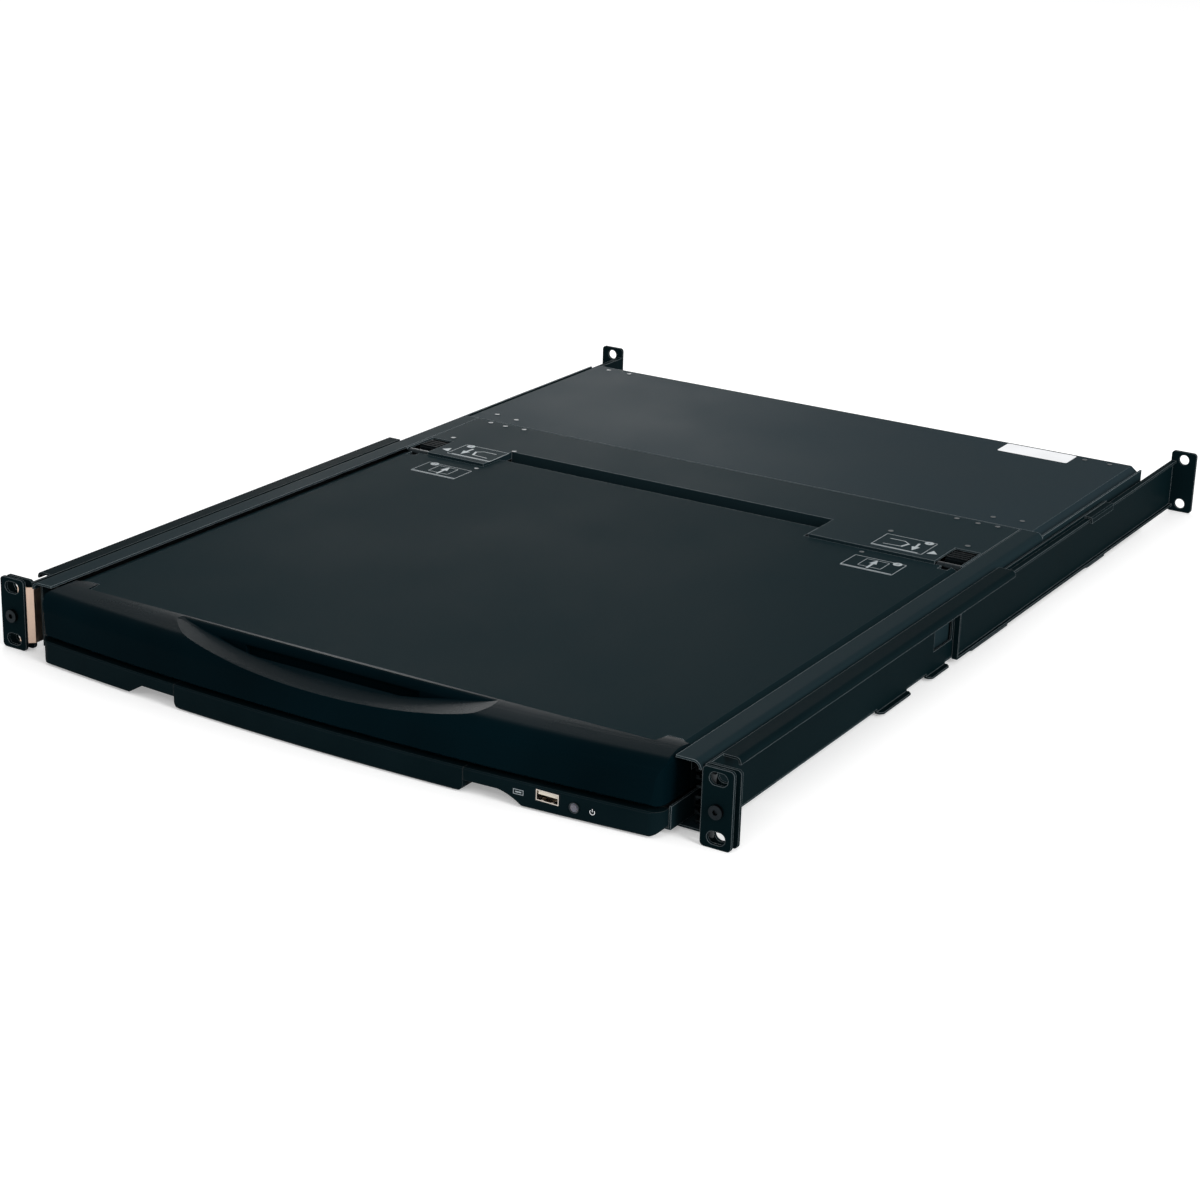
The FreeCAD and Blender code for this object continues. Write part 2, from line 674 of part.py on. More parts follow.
# --- mounting ears and rails, right-hand side ---------------------------------------------
def chassis_ear():
    """Front ear: plate with two rack slots and a screw hole."""
    z = (-EAR_HEIGHT / 2, EAR_HEIGHT / 2)
    plate = along_y(
        rounded_plate((EAR_INNER_X, RACK_WIDTH / 2), z, EAR_CORNER), (0, EAR_THICKNESS)
    )
    cut = (-1, EAR_THICKNESS + 1)
    holes = [
        slot_through(HOLE_X, side * HOLE_Z, cut, RACK_SLOT_LENGTH, RACK_SLOT_WIDTH)
        for side in (-1, 1)
    ]
    holes.append(rod((HOLE_X, cut[0], EAR_SCREW_Z), (0, 1, 0), 4, EAR_SCREW_RADIUS + EAR_SCREW_CLEARANCE))
    return plate.cut(holes)


def ear_bracket():
    """Bare metal bracket from the back of the ear, stepping in to the chassis wall."""
    t = SHEET
    outline = [
        (EAR_INNER_X + BRACKET_LAP, EAR_THICKNESS),
        (EAR_INNER_X + 0.8, EAR_THICKNESS),
        (HALF_BODY, RAIL_EAR_FRONT - 0.6),
        (HALF_BODY, BRACKET_REAR),
        (HALF_BODY + t, BRACKET_REAR),
        (HALF_BODY + t, RAIL_EAR_FRONT - 0.2),
        (EAR_INNER_X + 1.4, EAR_THICKNESS + t),
        (EAR_INNER_X + BRACKET_LAP, EAR_THICKNESS + t),
    ]
    return along_z(outline, (-BRACKET_HALF_HEIGHT, BRACKET_HALF_HEIGHT))


def hexagon(x, z, radius, y):
    """Hexagonal bar along Y, with two flats level."""
    corners = [arc_middle((x, z), radius, 60 * turn) for turn in range(6)]
    return along_y(corners, y)


def ear_screw():
    """Round-headed socket screw that clamps the two front ears, with its nut."""
    y_nut = RAIL_EAR_FRONT + EAR_THICKNESS
    head = rod((HOLE_X, -2.2, EAR_SCREW_Z), (0, 1, 0), 2.2, EAR_SCREW_HEAD)
    shank = rod((HOLE_X, 0, EAR_SCREW_Z), (0, 1, 0), y_nut, EAR_SCREW_RADIUS)
    nut = hexagon(HOLE_X, EAR_SCREW_Z, EAR_NUT_RADIUS, (y_nut, y_nut + 2.8))
    socket = hexagon(HOLE_X, EAR_SCREW_Z, EAR_SOCKET_RADIUS, (-3, -0.9))
    return joined([head, shank, nut]).cut(socket)


def rail_tab(y, bottom_gap=0.3):
    """Ledge bent out under the rear rail from the front rail's lower edge."""
    low = REAR_RAIL_BOTTOM - bottom_gap - RAIL_SHEET
    neck = block((RAIL_INNER_X, FRONT_WEB_OUTER), y, (low, FRONT_RAIL_BOTTOM + 1))
    corner = 2.0
    x = (RAIL_INNER_X, REAR_FLANGE_X - 0.4)
    ledge = along_z(
        [
            (x[0], y[0]),
            (x[1] - corner, y[0]),
            (x[1], y[0] + corner),
            (x[1], y[1] - corner),
            (x[1] - corner, y[1]),
            (x[0], y[1]),
        ],
        (low, low + RAIL_SHEET),
    )
    return [neck, ledge]


def rail_front():
    """Front rail: ear, web with a rolled top flange, lower tabs and an upper clip."""
    ear_y = (RAIL_EAR_FRONT, RAIL_EAR_FRONT + EAR_THICKNESS)
    ear = along_y(
        rounded_plate((RAIL_INNER_X, RACK_WIDTH / 2 + RAIL_EAR_REACH), RAIL_EAR_Z, EAR_CORNER), ear_y
    )
    holes = [
        rod((HOLE_X, ear_y[0] - 1, side * HOLE_Z), (0, 1, 0), 4, FRONT_HOLE_RADIUS)
        for side in (-1, 1)
    ]
    screw_hole = EAR_SCREW_RADIUS + EAR_SCREW_CLEARANCE
    holes.append(rod((HOLE_X, ear_y[0] - 1, EAR_SCREW_Z), (0, 1, 0), 4, screw_hole))
    web = block(
        (RAIL_INNER_X, FRONT_WEB_OUTER), (ear_y[0], FRONT_FLANGE_Y[1]), (FRONT_RAIL_BOTTOM, FRONT_RAIL_TOP)
    )
    tail = block(
        (RAIL_INNER_X, FRONT_WEB_OUTER),
        (FRONT_FLANGE_Y[1], FRONT_RAIL_REAR),
        (FRONT_RAIL_BOTTOM, FRONT_RAIL_LOW_TOP),
    )
    bend = FRONT_RAIL_BEND
    hub = (FRONT_FLANGE_X - bend, FRONT_RAIL_TOP - bend)
    flange = along_y(
        [
            (RAIL_INNER_X, FRONT_RAIL_TOP),
            (hub[0], FRONT_RAIL_TOP),
            (arc_middle(hub, bend, 45), (FRONT_FLANGE_X, hub[1])),
            (FRONT_FLANGE_X, FRONT_RAIL_TOP - FRONT_FLANGE_DROP),
            (FRONT_FLANGE_X - RAIL_SHEET, FRONT_RAIL_TOP - FRONT_FLANGE_DROP),
            (FRONT_FLANGE_X - RAIL_SHEET, hub[1]),
            (arc_middle(hub, bend - RAIL_SHEET, 45), (hub[0], FRONT_RAIL_TOP - RAIL_SHEET)),
            (RAIL_INNER_X, FRONT_RAIL_TOP - RAIL_SHEET),
        ],
        FRONT_FLANGE_Y,
    )
    window = block((RAIL_INNER_X - 1, FRONT_WEB_OUTER + 1), RAIL_WINDOW_Y, RAIL_WINDOW_Z)
    clip_z = REAR_RAIL_TOP + RAIL_CLEARANCE
    clip_x = REAR_FLANGE_X + RAIL_CLEARANCE
    clip = along_y(
        [
            (RAIL_INNER_X, clip_z),
            (clip_x, clip_z),
            (clip_x, clip_z - 3),
            (clip_x + RAIL_SHEET, clip_z - 3),
            (clip_x + RAIL_SHEET, clip_z + RAIL_SHEET - 1),
            (clip_x + RAIL_SHEET - 1, clip_z + RAIL_SHEET),
            (RAIL_INNER_X, clip_z + RAIL_SHEET),
        ],
        RAIL_CLIP_Y,
    )
    pieces = [ear.cut(holes), web.cut(window), tail, flange, clip]
    for y in RAIL_TABS:
        pieces.extend(rail_tab(y))
    return joined(pieces)


def rail_rear():
    """Rear rail: channel open to the outside, closed at its front and ending in the rear ear."""
    y = (REAR_RAIL_FRONT, REAR_EAR_Y - EAR_THICKNESS)
    z = (REAR_RAIL_BOTTOM, REAR_RAIL_TOP)
    web = block((REAR_WEB_INNER, REAR_WEB_OUTER), y, z)
    flanges = [
        block((REAR_WEB_INNER, REAR_FLANGE_X), y, (level, level + REAR_RAIL_SHEET))
        for level in (z[0], z[1] - REAR_RAIL_SHEET)
    ]
    end = block((REAR_WEB_INNER, REAR_FLANGE_X), (y[0], y[0] + REAR_RAIL_SHEET), z)
    half_height = EAR_HEIGHT / 2
    ear_y = (y[1], REAR_EAR_Y)
    ear = along_y(
        rounded_plate((REAR_WEB_INNER, RACK_WIDTH / 2), (-half_height, half_height), EAR_CORNER), ear_y
    )
    holes = [
        rod((HOLE_X, ear_y[0] - 1, side * HOLE_Z), (0, 1, 0), 4, REAR_HOLE_RADIUS)
        for side in (-1, 1)
    ]
    return joined([web, *flanges, end, ear.cut(holes)])


# --- ball slides, right-hand side -----------------------------------------------------------
def channel(x_web, x_open, z_mid, half_height, sheet, y):
    """C-shaped member: web at x_web, flanges that reach to x_open."""
    side = 1 if x_open > x_web else -1
    web = sorted((x_web, x_web + side * sheet))
    reach = sorted((x_web, x_open))
    pieces = [block(web, y, (z_mid - half_height, z_mid + half_height))]
    for sign in (-1, 1):
        edge = sorted((z_mid + sign * half_height, z_mid + sign * (half_height - sheet)))
        pieces.append(block(reach, y, edge))
    return pieces


def race_beads(x, z_mid, level, sign_out, y):
    """Raised ball tracks along both flanges of a member."""
    height = SLIDE_GAP - BEAD_CLEARANCE
    return [
        block(x, y, sorted((z_mid + sign * level, z_mid + sign * (level + sign_out * height))))
        for sign in (-1, 1)
    ]


def slide_outer(z_mid, height):
    """Outer member, fixed to the chassis wall."""
    y = (SLIDE_FRONT, SLIDE_REAR)
    return joined(channel(SLIDE_OUTER_X, SLIDE_OUTER_X - 7.5, z_mid, height / 2, SLIDE_SHEET, y))


def slide_middle(z_mid, height):
    """Middle member with ball tracks above and below both flanges."""
    y = (SLIDE_FRONT + 4, SLIDE_REAR - 4)
    half = height / 2 - SLIDE_SHEET - SLIDE_GAP
    web_x = SLIDE_OUTER_X - SLIDE_SHEET - 1.2
    open_x = SLIDE_INNER_X + SLIDE_SHEET + 1.4
    pieces = channel(web_x, open_x, z_mid, half, MEMBER_SHEET, y)
    pieces += race_beads((web_x - 3.5, web_x - 3.5 + BEAD_WIDTH), z_mid, half, 1, y)
    pieces += race_beads((open_x, open_x + BEAD_WIDTH), z_mid, half - MEMBER_SHEET, -1, y)
    return joined(pieces)


def slide_inner(z_mid, height, y_end):
    """Inner member, fixed to the moving tray."""
    half = height / 2 - SLIDE_SHEET - 2 * SLIDE_GAP - MEMBER_SHEET
    y = (SLIDE_FRONT + 8, y_end)
    return joined(channel(SLIDE_INNER_X, SLIDE_INNER_X + 6.5, z_mid, half, MEMBER_SHEET, y))


# --- display module ---------------------------------------------------------------------
def cap_outline(grow):
    """Plan outline of the front cap, with rounded front corners and stepped rear corners."""
    r = FRONT_CORNER
    x = MODULE_HALF_WIDTH
    hub = (x - r, bow_y(x - r) + r)
    half = [
        (0, -60),
        (x - r, -60),
        (x - r, hub[1] - r),
        (arc_middle(hub, r, -45), (x, hub[1])),
        (x, CAP_EAR_Y - 3.5 + grow),
        (x - 3.0, CAP_EAR_Y - 3.5 + grow),
        (x - 8.0, CAP_EAR_Y + grow),
        (CAP_EAR_X + 2.0 - grow, CAP_EAR_Y + grow),
        (CAP_EAR_X - grow, CAP_SPLIT_Y + grow),
        (0, CAP_SPLIT_Y + grow),
    ]
    return symmetric(half)


def cap_zone(grow):
    """Space that the front cap takes in plan, over the module's full height."""
    return along_z(cap_outline(grow), (MODULE_BOTTOM - 20, MODULE_TOP + 20))


def arched_outline(centre, half_span, dip):
    """Outline in X and Z of the space above an arched line that ends at the cap's top."""
    return [
        (centre - half_span, CAP_TOP),
        ((centre, CAP_TOP - dip), (centre + half_span, CAP_TOP)),
        (centre + half_span, CAP_TOP + 20),
        (centre - half_span, CAP_TOP + 20),
    ]


def above_grab(rear_y):
    """Everything above the arched grab, from in front of the cap to a value of Y."""
    front = arched_outline(0, HANDLE_HALF_SPAN, HANDLE_DIP)
    rear = arched_outline(POCKET_CENTRE_X, POCKET_HALF_SPAN, POCKET_DIP)
    ends = [
        face_of(steps, lambda a, b, y=y: Vector(a, y, b)).OuterWire
        for steps, y in ((front, HANDLE_FRONT_Y), (rear, POCKET_WALL_Y))
    ]
    pieces = [along_y(front, (-60, HANDLE_FRONT_Y)), Part.makeLoft(ends, True, True)]
    if rear_y > POCKET_WALL_Y:
        pieces.append(along_y(rear, (POCKET_WALL_Y, rear_y)))
    first, *rest = pieces
    return first.fuse(rest)


def grab_ridge():
    """Rise of the grab towards its straight edge in front of the slot."""
    edge = POCKET_WALL_Y - SLOT_WIDTH
    middle = ((RIDGE_FOOT_Y + edge) / 2, (RIDGE_FOOT + RIDGE_TOP) / 2 - 0.35)
    outline = [
        (RIDGE_FOOT_Y, MODULE_BOTTOM),
        (RIDGE_FOOT_Y, RIDGE_FOOT),
        (middle, (edge, RIDGE_TOP)),
        (POCKET_WALL_Y + 1, RIDGE_TOP),
        (POCKET_WALL_Y + 1, MODULE_BOTTOM),
    ]
    return along_x(outline, (-HANDLE_HALF_SPAN, HANDLE_HALF_SPAN))


def finger_slot():
    """Slot behind the grab, pointed at its ends, with an undercut under the rear lip."""
    front, back = POCKET_WALL_Y - SLOT_WIDTH, POCKET_WALL_Y
    end = ((SLOT_FRONT_HALF + SLOT_BACK_HALF) / 2 + 2, front + SLOT_WIDTH * 0.4)
    outline = symmetric([(0, front), (SLOT_FRONT_HALF, front), (end, (SLOT_BACK_HALF, back)), (0, back)])
    opening = along_z(outline, (SLOT_FLOOR, CAP_TOP + 1))
    half = SLOT_FRONT_HALF + 8
    undercut = block((-half, half), (front + 2, back + UNDERCUT_DEPTH), (SLOT_FLOOR, UNDERCUT_TOP))
    slot = opening.fuse(undercut)
    slot.translate(Vector(POCKET_CENTRE_X, 0, 0))
    return slot


def lip_rounding():
    """Cutter that rounds the upper edge of the pocket's rear wall."""
    r = POCKET_LIP_ROUND
    hub = (POCKET_WALL_Y + r, CAP_TOP - 0.3 - r)
    outline = [
        (POCKET_WALL_Y - 1, hub[1]),
        (POCKET_WALL_Y, hub[1]),
        (arc_middle(hub, r, 135), (hub[0], hub[1] + r)),
        (hub[0], CAP_TOP + 5),
        (POCKET_WALL_Y - 1, CAP_TOP + 5),
    ]
    cutter = along_x(outline, (POCKET_CENTRE_X - POCKET_HALF_SPAN, POCKET_CENTRE_X + POCKET_HALF_SPAN))
    return cutter.common(above_grab(POCKET_WALL_Y + r))


def rounded_sides():
    """Space under a roof whose two long edges are rounded."""
    r = CAP_SIDE_ROUND
    hub = (MODULE_HALF_WIDTH - r, CAP_TOP - r)
    outline = [
        (0, MODULE_BOTTOM - 1),
        (MODULE_HALF_WIDTH + 1, MODULE_BOTTOM - 1),
        (MODULE_HALF_WIDTH + 1, hub[1]),
        (MODULE_HALF_WIDTH, hub[1]),
        (arc_middle(hub, r, 45), (hub[0], CAP_TOP)),
        (0, CAP_TOP),
    ]
    return along_y(symmetric(outline), (-60, CAP_EAR_Y + 5))


def lcd_front_cap():
    """Moulded front with the arched grab, its ridge and finger slot, hollow at both ends."""
    y = BOW_FRONT
    section = [
        (y + 1.0, MODULE_BOTTOM),
        (y, MODULE_BOTTOM + 1.0),
        (y + 0.8, 9.0),
        ((y + 3.5, 16.3), (y + 11.0, CAP_TOP - 0.5)),
        ((y + 20.0, CAP_TOP), (y + 34.0, MODULE_TOP + 0.2)),
        (y + 70.0, MODULE_TOP + 0.2),
        (y + 70.0, MODULE_BOTTOM),
    ]
    body = bowed(section).common(cap_zone(0)).common(rounded_sides())
    hollows = [
        block(
            sorted((side * CAP_HOLLOW_X, side * (CAP_EAR_X - CAP_WALL))),
            (FRONT_END_Y + CAP_WALL, CAP_SPLIT_Y + 1),
            (MODULE_BOTTOM + CAP_WALL, CAP_TOP - 4),
        )
        for side in (-1, 1)
    ]
    grab = above_grab(POCKET_WALL_Y).cut(grab_ridge())
    return body.cut([grab, finger_slot(), lip_rounding(), *hollows])


def hinge_gap(side, x, clearance):
    """Space that a hinge arm takes through the rear wall of the module."""
    xs = sorted((side * (x[0] - clearance), side * (x[1] + clearance)))
    return block(xs, (MODULE_REAR - 6, MODULE_REAR + 1), (HINGE_Z - KNUCKLE_RADIUS - 0.3, MODULE_TOP + 1))


def lcd_back_plate():
    """Folded back of the display, with side bevels and the tongue that closes the rear slot."""
    t = MODULE_SKIN
    x = MODULE_HALF_WIDTH
    low = MODULE_TOP - MODULE_EDGE_DROP
    half = [
        (0, MODULE_TOP),
        (MODULE_EDGE_X, MODULE_TOP),
        (x, low),
        (x, 6.0),
        (x - t, 6.0),
        (x - t, low - 0.6),
        (MODULE_EDGE_X - 0.3, MODULE_TOP - t),
        (0, MODULE_TOP - t),
    ]
    right = along_y(half, (CAP_SPLIT_Y, MODULE_REAR))
    rear = block((0, x - t), (MODULE_REAR - t, MODULE_REAR), (14.0, low - 1.0))
    infill = block((0, MODULE_EDGE_X - 1), (MODULE_REAR - t, MODULE_REAR), (low - 2, MODULE_TOP - t / 2))
    right = joined([right, rear, infill])
    plate = joined([right, mirrored(right)])
    top = block(TONGUE_X, (MODULE_REAR - t, TONGUE_REAR), (MODULE_TOP - t, MODULE_TOP))
    drop = block(TONGUE_X, (TONGUE_REAR - t, TONGUE_REAR), (MODULE_TOP - 6, MODULE_TOP))
    plate = joined([plate, top, drop])
    gaps = [hinge_gap(side, ARM_X, 0.3) for side in (-1, 1)]
    return plate.cut([cap_zone(SEAM), *gaps])


def push_key_outline(x, grow):
    """Oblong outline with cut corners of one of the display's push keys."""
    half = (OSD_KEY[0] / 2 + grow, OSD_KEY[1] / 2 + grow)
    cut = OSD_KEY_CORNER
    quarter = [(half[0], half[1] - cut), (half[0] - cut, half[1])]
    upper = [*quarter, *[(-px, py) for px, py in reversed(quarter)]]
    outline = [*upper, *[(-px, -py) for px, py in upper]]
    return [(x + px, OSD_Y + py) for px, py in outline]


def lcd_inner_bezel():
    """Screen surround that faces the keyboard when the module is closed."""
    x = MODULE_HALF_WIDTH
    y = (CAP_SPLIT_Y, MODULE_REAR)
    floor = block((-x, x), y, (MODULE_BOTTOM, MODULE_BOTTOM + BEZEL_SKIN))
    walls = [
        block(sorted((side * (x - 1.4), side * x)), y, (MODULE_BOTTOM, 5.9)) for side in (-1, 1)
    ]
    rear = block((-x + 1.0, x - 1.0), (MODULE_REAR - 1.4, MODULE_REAR), (MODULE_BOTTOM, 14.0))
    front = block((-x + 14, x - 14), (CAP_SPLIT_Y, CAP_SPLIT_Y + 2.0), (MODULE_BOTTOM, 16.0))
    posts = [
        block((px - 2, px + 2), (py - 2, py + 2), (MODULE_BOTTOM, MODULE_BOTTOM + 4.8))
        for px in (OSD_X[0] - 12, LCD_POWER_X + 12)
        for py in (OSD_Y - 8, OSD_Y + 8)
    ]
    window = block(
        (-SCREEN_X, SCREEN_X), SCREEN_Y, (MODULE_BOTTOM - 1, MODULE_BOTTOM + BEZEL_SKIN + 1)
    )
    bevel = along_x(
        [
            (SCREEN_Y[0], MODULE_BOTTOM + BEZEL_SKIN),
            (SCREEN_Y[0] - 1.2, MODULE_BOTTOM),
            (SCREEN_Y[1] + 1.2, MODULE_BOTTOM),
            (SCREEN_Y[1], MODULE_BOTTOM + BEZEL_SKIN),
        ],
        (-SCREEN_X, SCREEN_X),
    )
    holes = [
        along_z(push_key_outline(px, OSD_KEY_CLEARANCE), (MODULE_BOTTOM - 1, MODULE_BOTTOM + BEZEL_SKIN + 1))
        for px in (*OSD_X, LCD_POWER_X)
    ]
    bezel = joined([floor, *walls, rear, front, *posts])
    return bezel.cut([window, bevel, *holes, cap_zone(0)])


def lcd_glass():
    """Glass of the display, behind the surround."""
    z = MODULE_BOTTOM + BEZEL_SKIN
    return block((-SCREEN_X - 6, SCREEN_X + 6), (SCREEN_Y[0] - 5, SCREEN_Y[1] + 5), (z, z + GLASS))


def lcd_panel():
    """Display panel: metal-framed box with two mounting rails up to the back plate."""
    z = MODULE_BOTTOM + BEZEL_SKIN + GLASS
    x, y = SCREEN_X + 9, (SCREEN_Y[0] - 8, SCREEN_Y[1] + 8)
    body = block((-x, x), y, (z, z + PANEL_THICKNESS))
    rails = [
        block(sorted((side * (x - 12), side * x)), y, (z + PANEL_THICKNESS, MODULE_TOP - MODULE_SKIN))
        for side in (-1, 1)
    ]
    return joined([body, *rails])


def osd_board():
    """Button board of the display, on the posts of the surround."""
    z = MODULE_BOTTOM + 4.8
    return block((OSD_X[0] - 18, LCD_POWER_X + 18), (OSD_Y - 12, OSD_Y + 12), (z, z + 1.6))


def osd_button(x):
    """Oblong push key of the display with its retaining collar and the stem that works its switch."""
    z = MODULE_BOTTOM
    low = z + BEZEL_SKIN + 0.05
    key = along_z(push_key_outline(x, 0), (z - 0.9, low))
    reach = (OSD_KEY[0] / 2 + 0.9, OSD_KEY[1] / 2 + 0.9)
    collar = block((x - reach[0], x + reach[0]), (OSD_Y - reach[1], OSD_Y + reach[1]), (low, low + 1.0))
    stem = block((x - 1.5, x + 1.5), (OSD_Y - 1.5, OSD_Y + 1.5), (low + 1.0, z + 4.1))
    return joined([key, collar, stem])


def knuckle(x, radius_in):
    """Hinge knuckle between two values of X."""
    tube = rod((x[0], HINGE_Y, HINGE_Z), (1, 0, 0), x[1] - x[0], KNUCKLE_RADIUS)
    bore = rod((x[0] - 1, HINGE_Y, HINGE_Z), (1, 0, 0), x[1] - x[0] + 2, radius_in)
    return tube, bore


def lcd_hinge_arm():
    """Arm fixed inside the display that turns on the hinge pin."""
    tube, bore = knuckle(ARM_X, PIN_RADIUS + PIN_CLEARANCE)
    low = HINGE_Z - KNUCKLE_RADIUS
    arm = block(ARM_X, (MODULE_REAR - 12, HINGE_Y), (low, low + 2.2))
    root = block(
        (ARM_X[0] - 14, ARM_X[1]), (MODULE_REAR - 34, MODULE_REAR - 12), (low, low + 2.2)
    )
    foot = block(
        (ARM_X[0] - 14, ARM_X[1] - 2),
        (MODULE_REAR - 34, MODULE_REAR - 30),
        (MODULE_BOTTOM + BEZEL_SKIN, low),
    )
    return joined([tube, arm, root, foot]).cut(bore)


# --- display carriage -------------------------------------------------------------------
def carriage_cover():
    """Cover behind the display: two forward tabs, catch openings and folded edges."""
    t = SHEET
    z = (BODY_TOP - t, BODY_TOP)
    x = CARRIAGE_HALF_WIDTH
    outline = [
        (-x, TAB_FRONT),
        (TAB_LEFT_X, TAB_FRONT),
        (TAB_LEFT_X, SLOT_REAR),
        (TAB_RIGHT_X, SLOT_REAR),
        (TAB_RIGHT_X, TAB_FRONT),
        (x, TAB_FRONT),
        (x, CARRIAGE_REAR),
        (-x, CARRIAGE_REAR),
    ]
    top = along_z(outline, z)
    tab_z = (BODY_TOP - 5.0, z[0])
    tab_y = (TAB_FRONT, TAB_FRONT + t)
    slot_z = (8.0, z[0])
    pieces = [
        top,
        block((-CATCH_OPENING_X[0], TAB_LEFT_X), tab_y, tab_z),
        block((TAB_RIGHT_X, CATCH_OPENING_X[0]), tab_y, tab_z),
        block((TAB_LEFT_X, TAB_RIGHT_X), (SLOT_REAR, SLOT_REAR + t), slot_z),
        block((TAB_LEFT_X - t, TAB_LEFT_X), (TAB_FRONT, SLOT_REAR + t), tab_z),
        block((TAB_RIGHT_X, TAB_RIGHT_X + t), (TAB_FRONT, SLOT_REAR + t), tab_z),
        block((-x, x), (CARRIAGE_REAR - t, CARRIAGE_REAR), slot_z),
    ]
    for side in (-1, 1):
        skirt = sorted((side * (x - t), side * x))
        pieces.append(block(skirt, (CATCH_OPENING_REAR, CARRIAGE_REAR), (3.0, z[0])))
    openings = [
        block(
            sorted((side * CATCH_OPENING_X[0], side * CATCH_OPENING_X[1])),
            (TAB_FRONT - 1, CATCH_OPENING_REAR),
            (tab_z[0] - 1, z[1] + 1),
        )
        for side in (-1, 1)
    ]
    return joined(pieces).cut(openings)


def carriage_base():
    """Tray under the cover that joins the two inner slide members."""
    t = SHEET
    y = (CARRIAGE_FLOOR_FRONT, CARRIAGE_REAR)
    floor = block((-SLIDE_INNER_X, SLIDE_INNER_X), y, (CARRIAGE_FLOOR, CARRIAGE_FLOOR + t))
    walls = [
        block(
            sorted((side * CARRIAGE_HALF_WIDTH, side * SLIDE_INNER_X)),
            y,
            (CARRIAGE_FLOOR, CARRIAGE_WALL_TOP),
        )
        for side in (-1, 1)
    ]
    inside = CARRIAGE_HALF_WIDTH - SHEET
    rear = block((-inside, inside), (CARRIAGE_REAR - t, CARRIAGE_REAR), (CARRIAGE_FLOOR, 8.0))
    rib = block(
        (TAB_LEFT_X, TAB_RIGHT_X), (SLOT_REAR, SLOT_REAR + t), (CARRIAGE_FLOOR, 8.0)
    )
    return joined([floor, *walls, rear, rib])


def hinge_bracket():
    """Bracket with the two outer knuckles, standing on the carriage floor."""
    low = HINGE_Z - KNUCKLE_RADIUS
    tubes, bores = [], []
    for x in ((HINGE_X[0], ARM_X[0] - 0.2), (ARM_X[1] + 0.2, HINGE_X[1])):
        tube, bore = knuckle(x, PIN_RADIUS + 0.02)
        strap = block(x, (HINGE_Y, HINGE_Y + 6), (low, low + 1.6))
        tubes += [tube, strap]
        bores.append(bore)
    floor_top = CARRIAGE_FLOOR + SHEET
    leaf = block(HINGE_X, (HINGE_Y + 6, HINGE_Y + 34), (low, low + 1.6))
    leg = block(HINGE_X, (HINGE_Y + 24, HINGE_Y + 26), (floor_top, low + 1.6))
    foot = block(HINGE_X, (HINGE_Y + 24, HINGE_Y + 40), (floor_top, floor_top + 1.6))
    return joined([*tubes, leaf, leg, foot]).cut(bores)


def hinge_pin():
    """Pin through the three knuckles."""
    return rod((HINGE_X[0], HINGE_Y, HINGE_Z), (1, 0, 0), HINGE_X[1] - HINGE_X[0], PIN_RADIUS)


def release_catch():
    """Ribbed thumb catch that slides rearward in its opening."""
    low = HINGE_Z - KNUCKLE_RADIUS + 1.6 + 0.1
    x = (CATCH_OPENING_X[0] + 1.6, CATCH_OPENING_X[1] - 1.6)
    y = (MODULE_REAR + CATCH_SETBACK, CATCH_OPENING_REAR - CATCH_TRAVEL - 0.4)
    body = block(x, y, (low, BODY_TOP - 1.6))
    ribs = []
    for rib in range(4):
        front = y[0] + 1.5 + rib * 3.4
        ribs.append(block(x, (front, front + 1.6), (BODY_TOP - 1.6, BODY_TOP - 0.4)))
    return joined([body, *ribs])


# --- keyboard drawer --------------------------------------------------------------------
def keyboard_tray():
    """Sheet tray of the keyboard drawer, between the two lower inner slide members."""
    t = TRAY_SHEET
    x = SLIDE_INNER_X
    y = (FASCIA_BACK, TRAY_REAR)
    floor = block((-x, x), y, (TRAY_FLOOR, TRAY_FLOOR + t))
    walls = [
        block(sorted((side * (x - SHEET), side * x)), y, (TRAY_FLOOR, TRAY_WALL_TOP)) for side in (-1, 1)
    ]
    rear = block((-x, x), (TRAY_REAR - t, TRAY_REAR), (TRAY_FLOOR, TRAY_WALL_TOP))
    return joined([floor, *walls, rear])


def fascia_slab():
    """Bowed bar from which the fascia and its centre pull are cut."""
    y = BOW_FRONT
    section = [
        (y + 0.6, FASCIA_TOP),
        (y, FASCIA_TOP - 0.8),
        (y, PULL_BOTTOM + 0.8),
        (y + 0.8, PULL_BOTTOM),
        (y + 40, PULL_BOTTOM),
        (y + 40, FASCIA_TOP),
    ]
    bar = bowed(section)
    zone = cap_zone(0).common(block((-300, 300), (-80, FASCIA_BACK), (-40, 0)))
    return bar.common(zone)


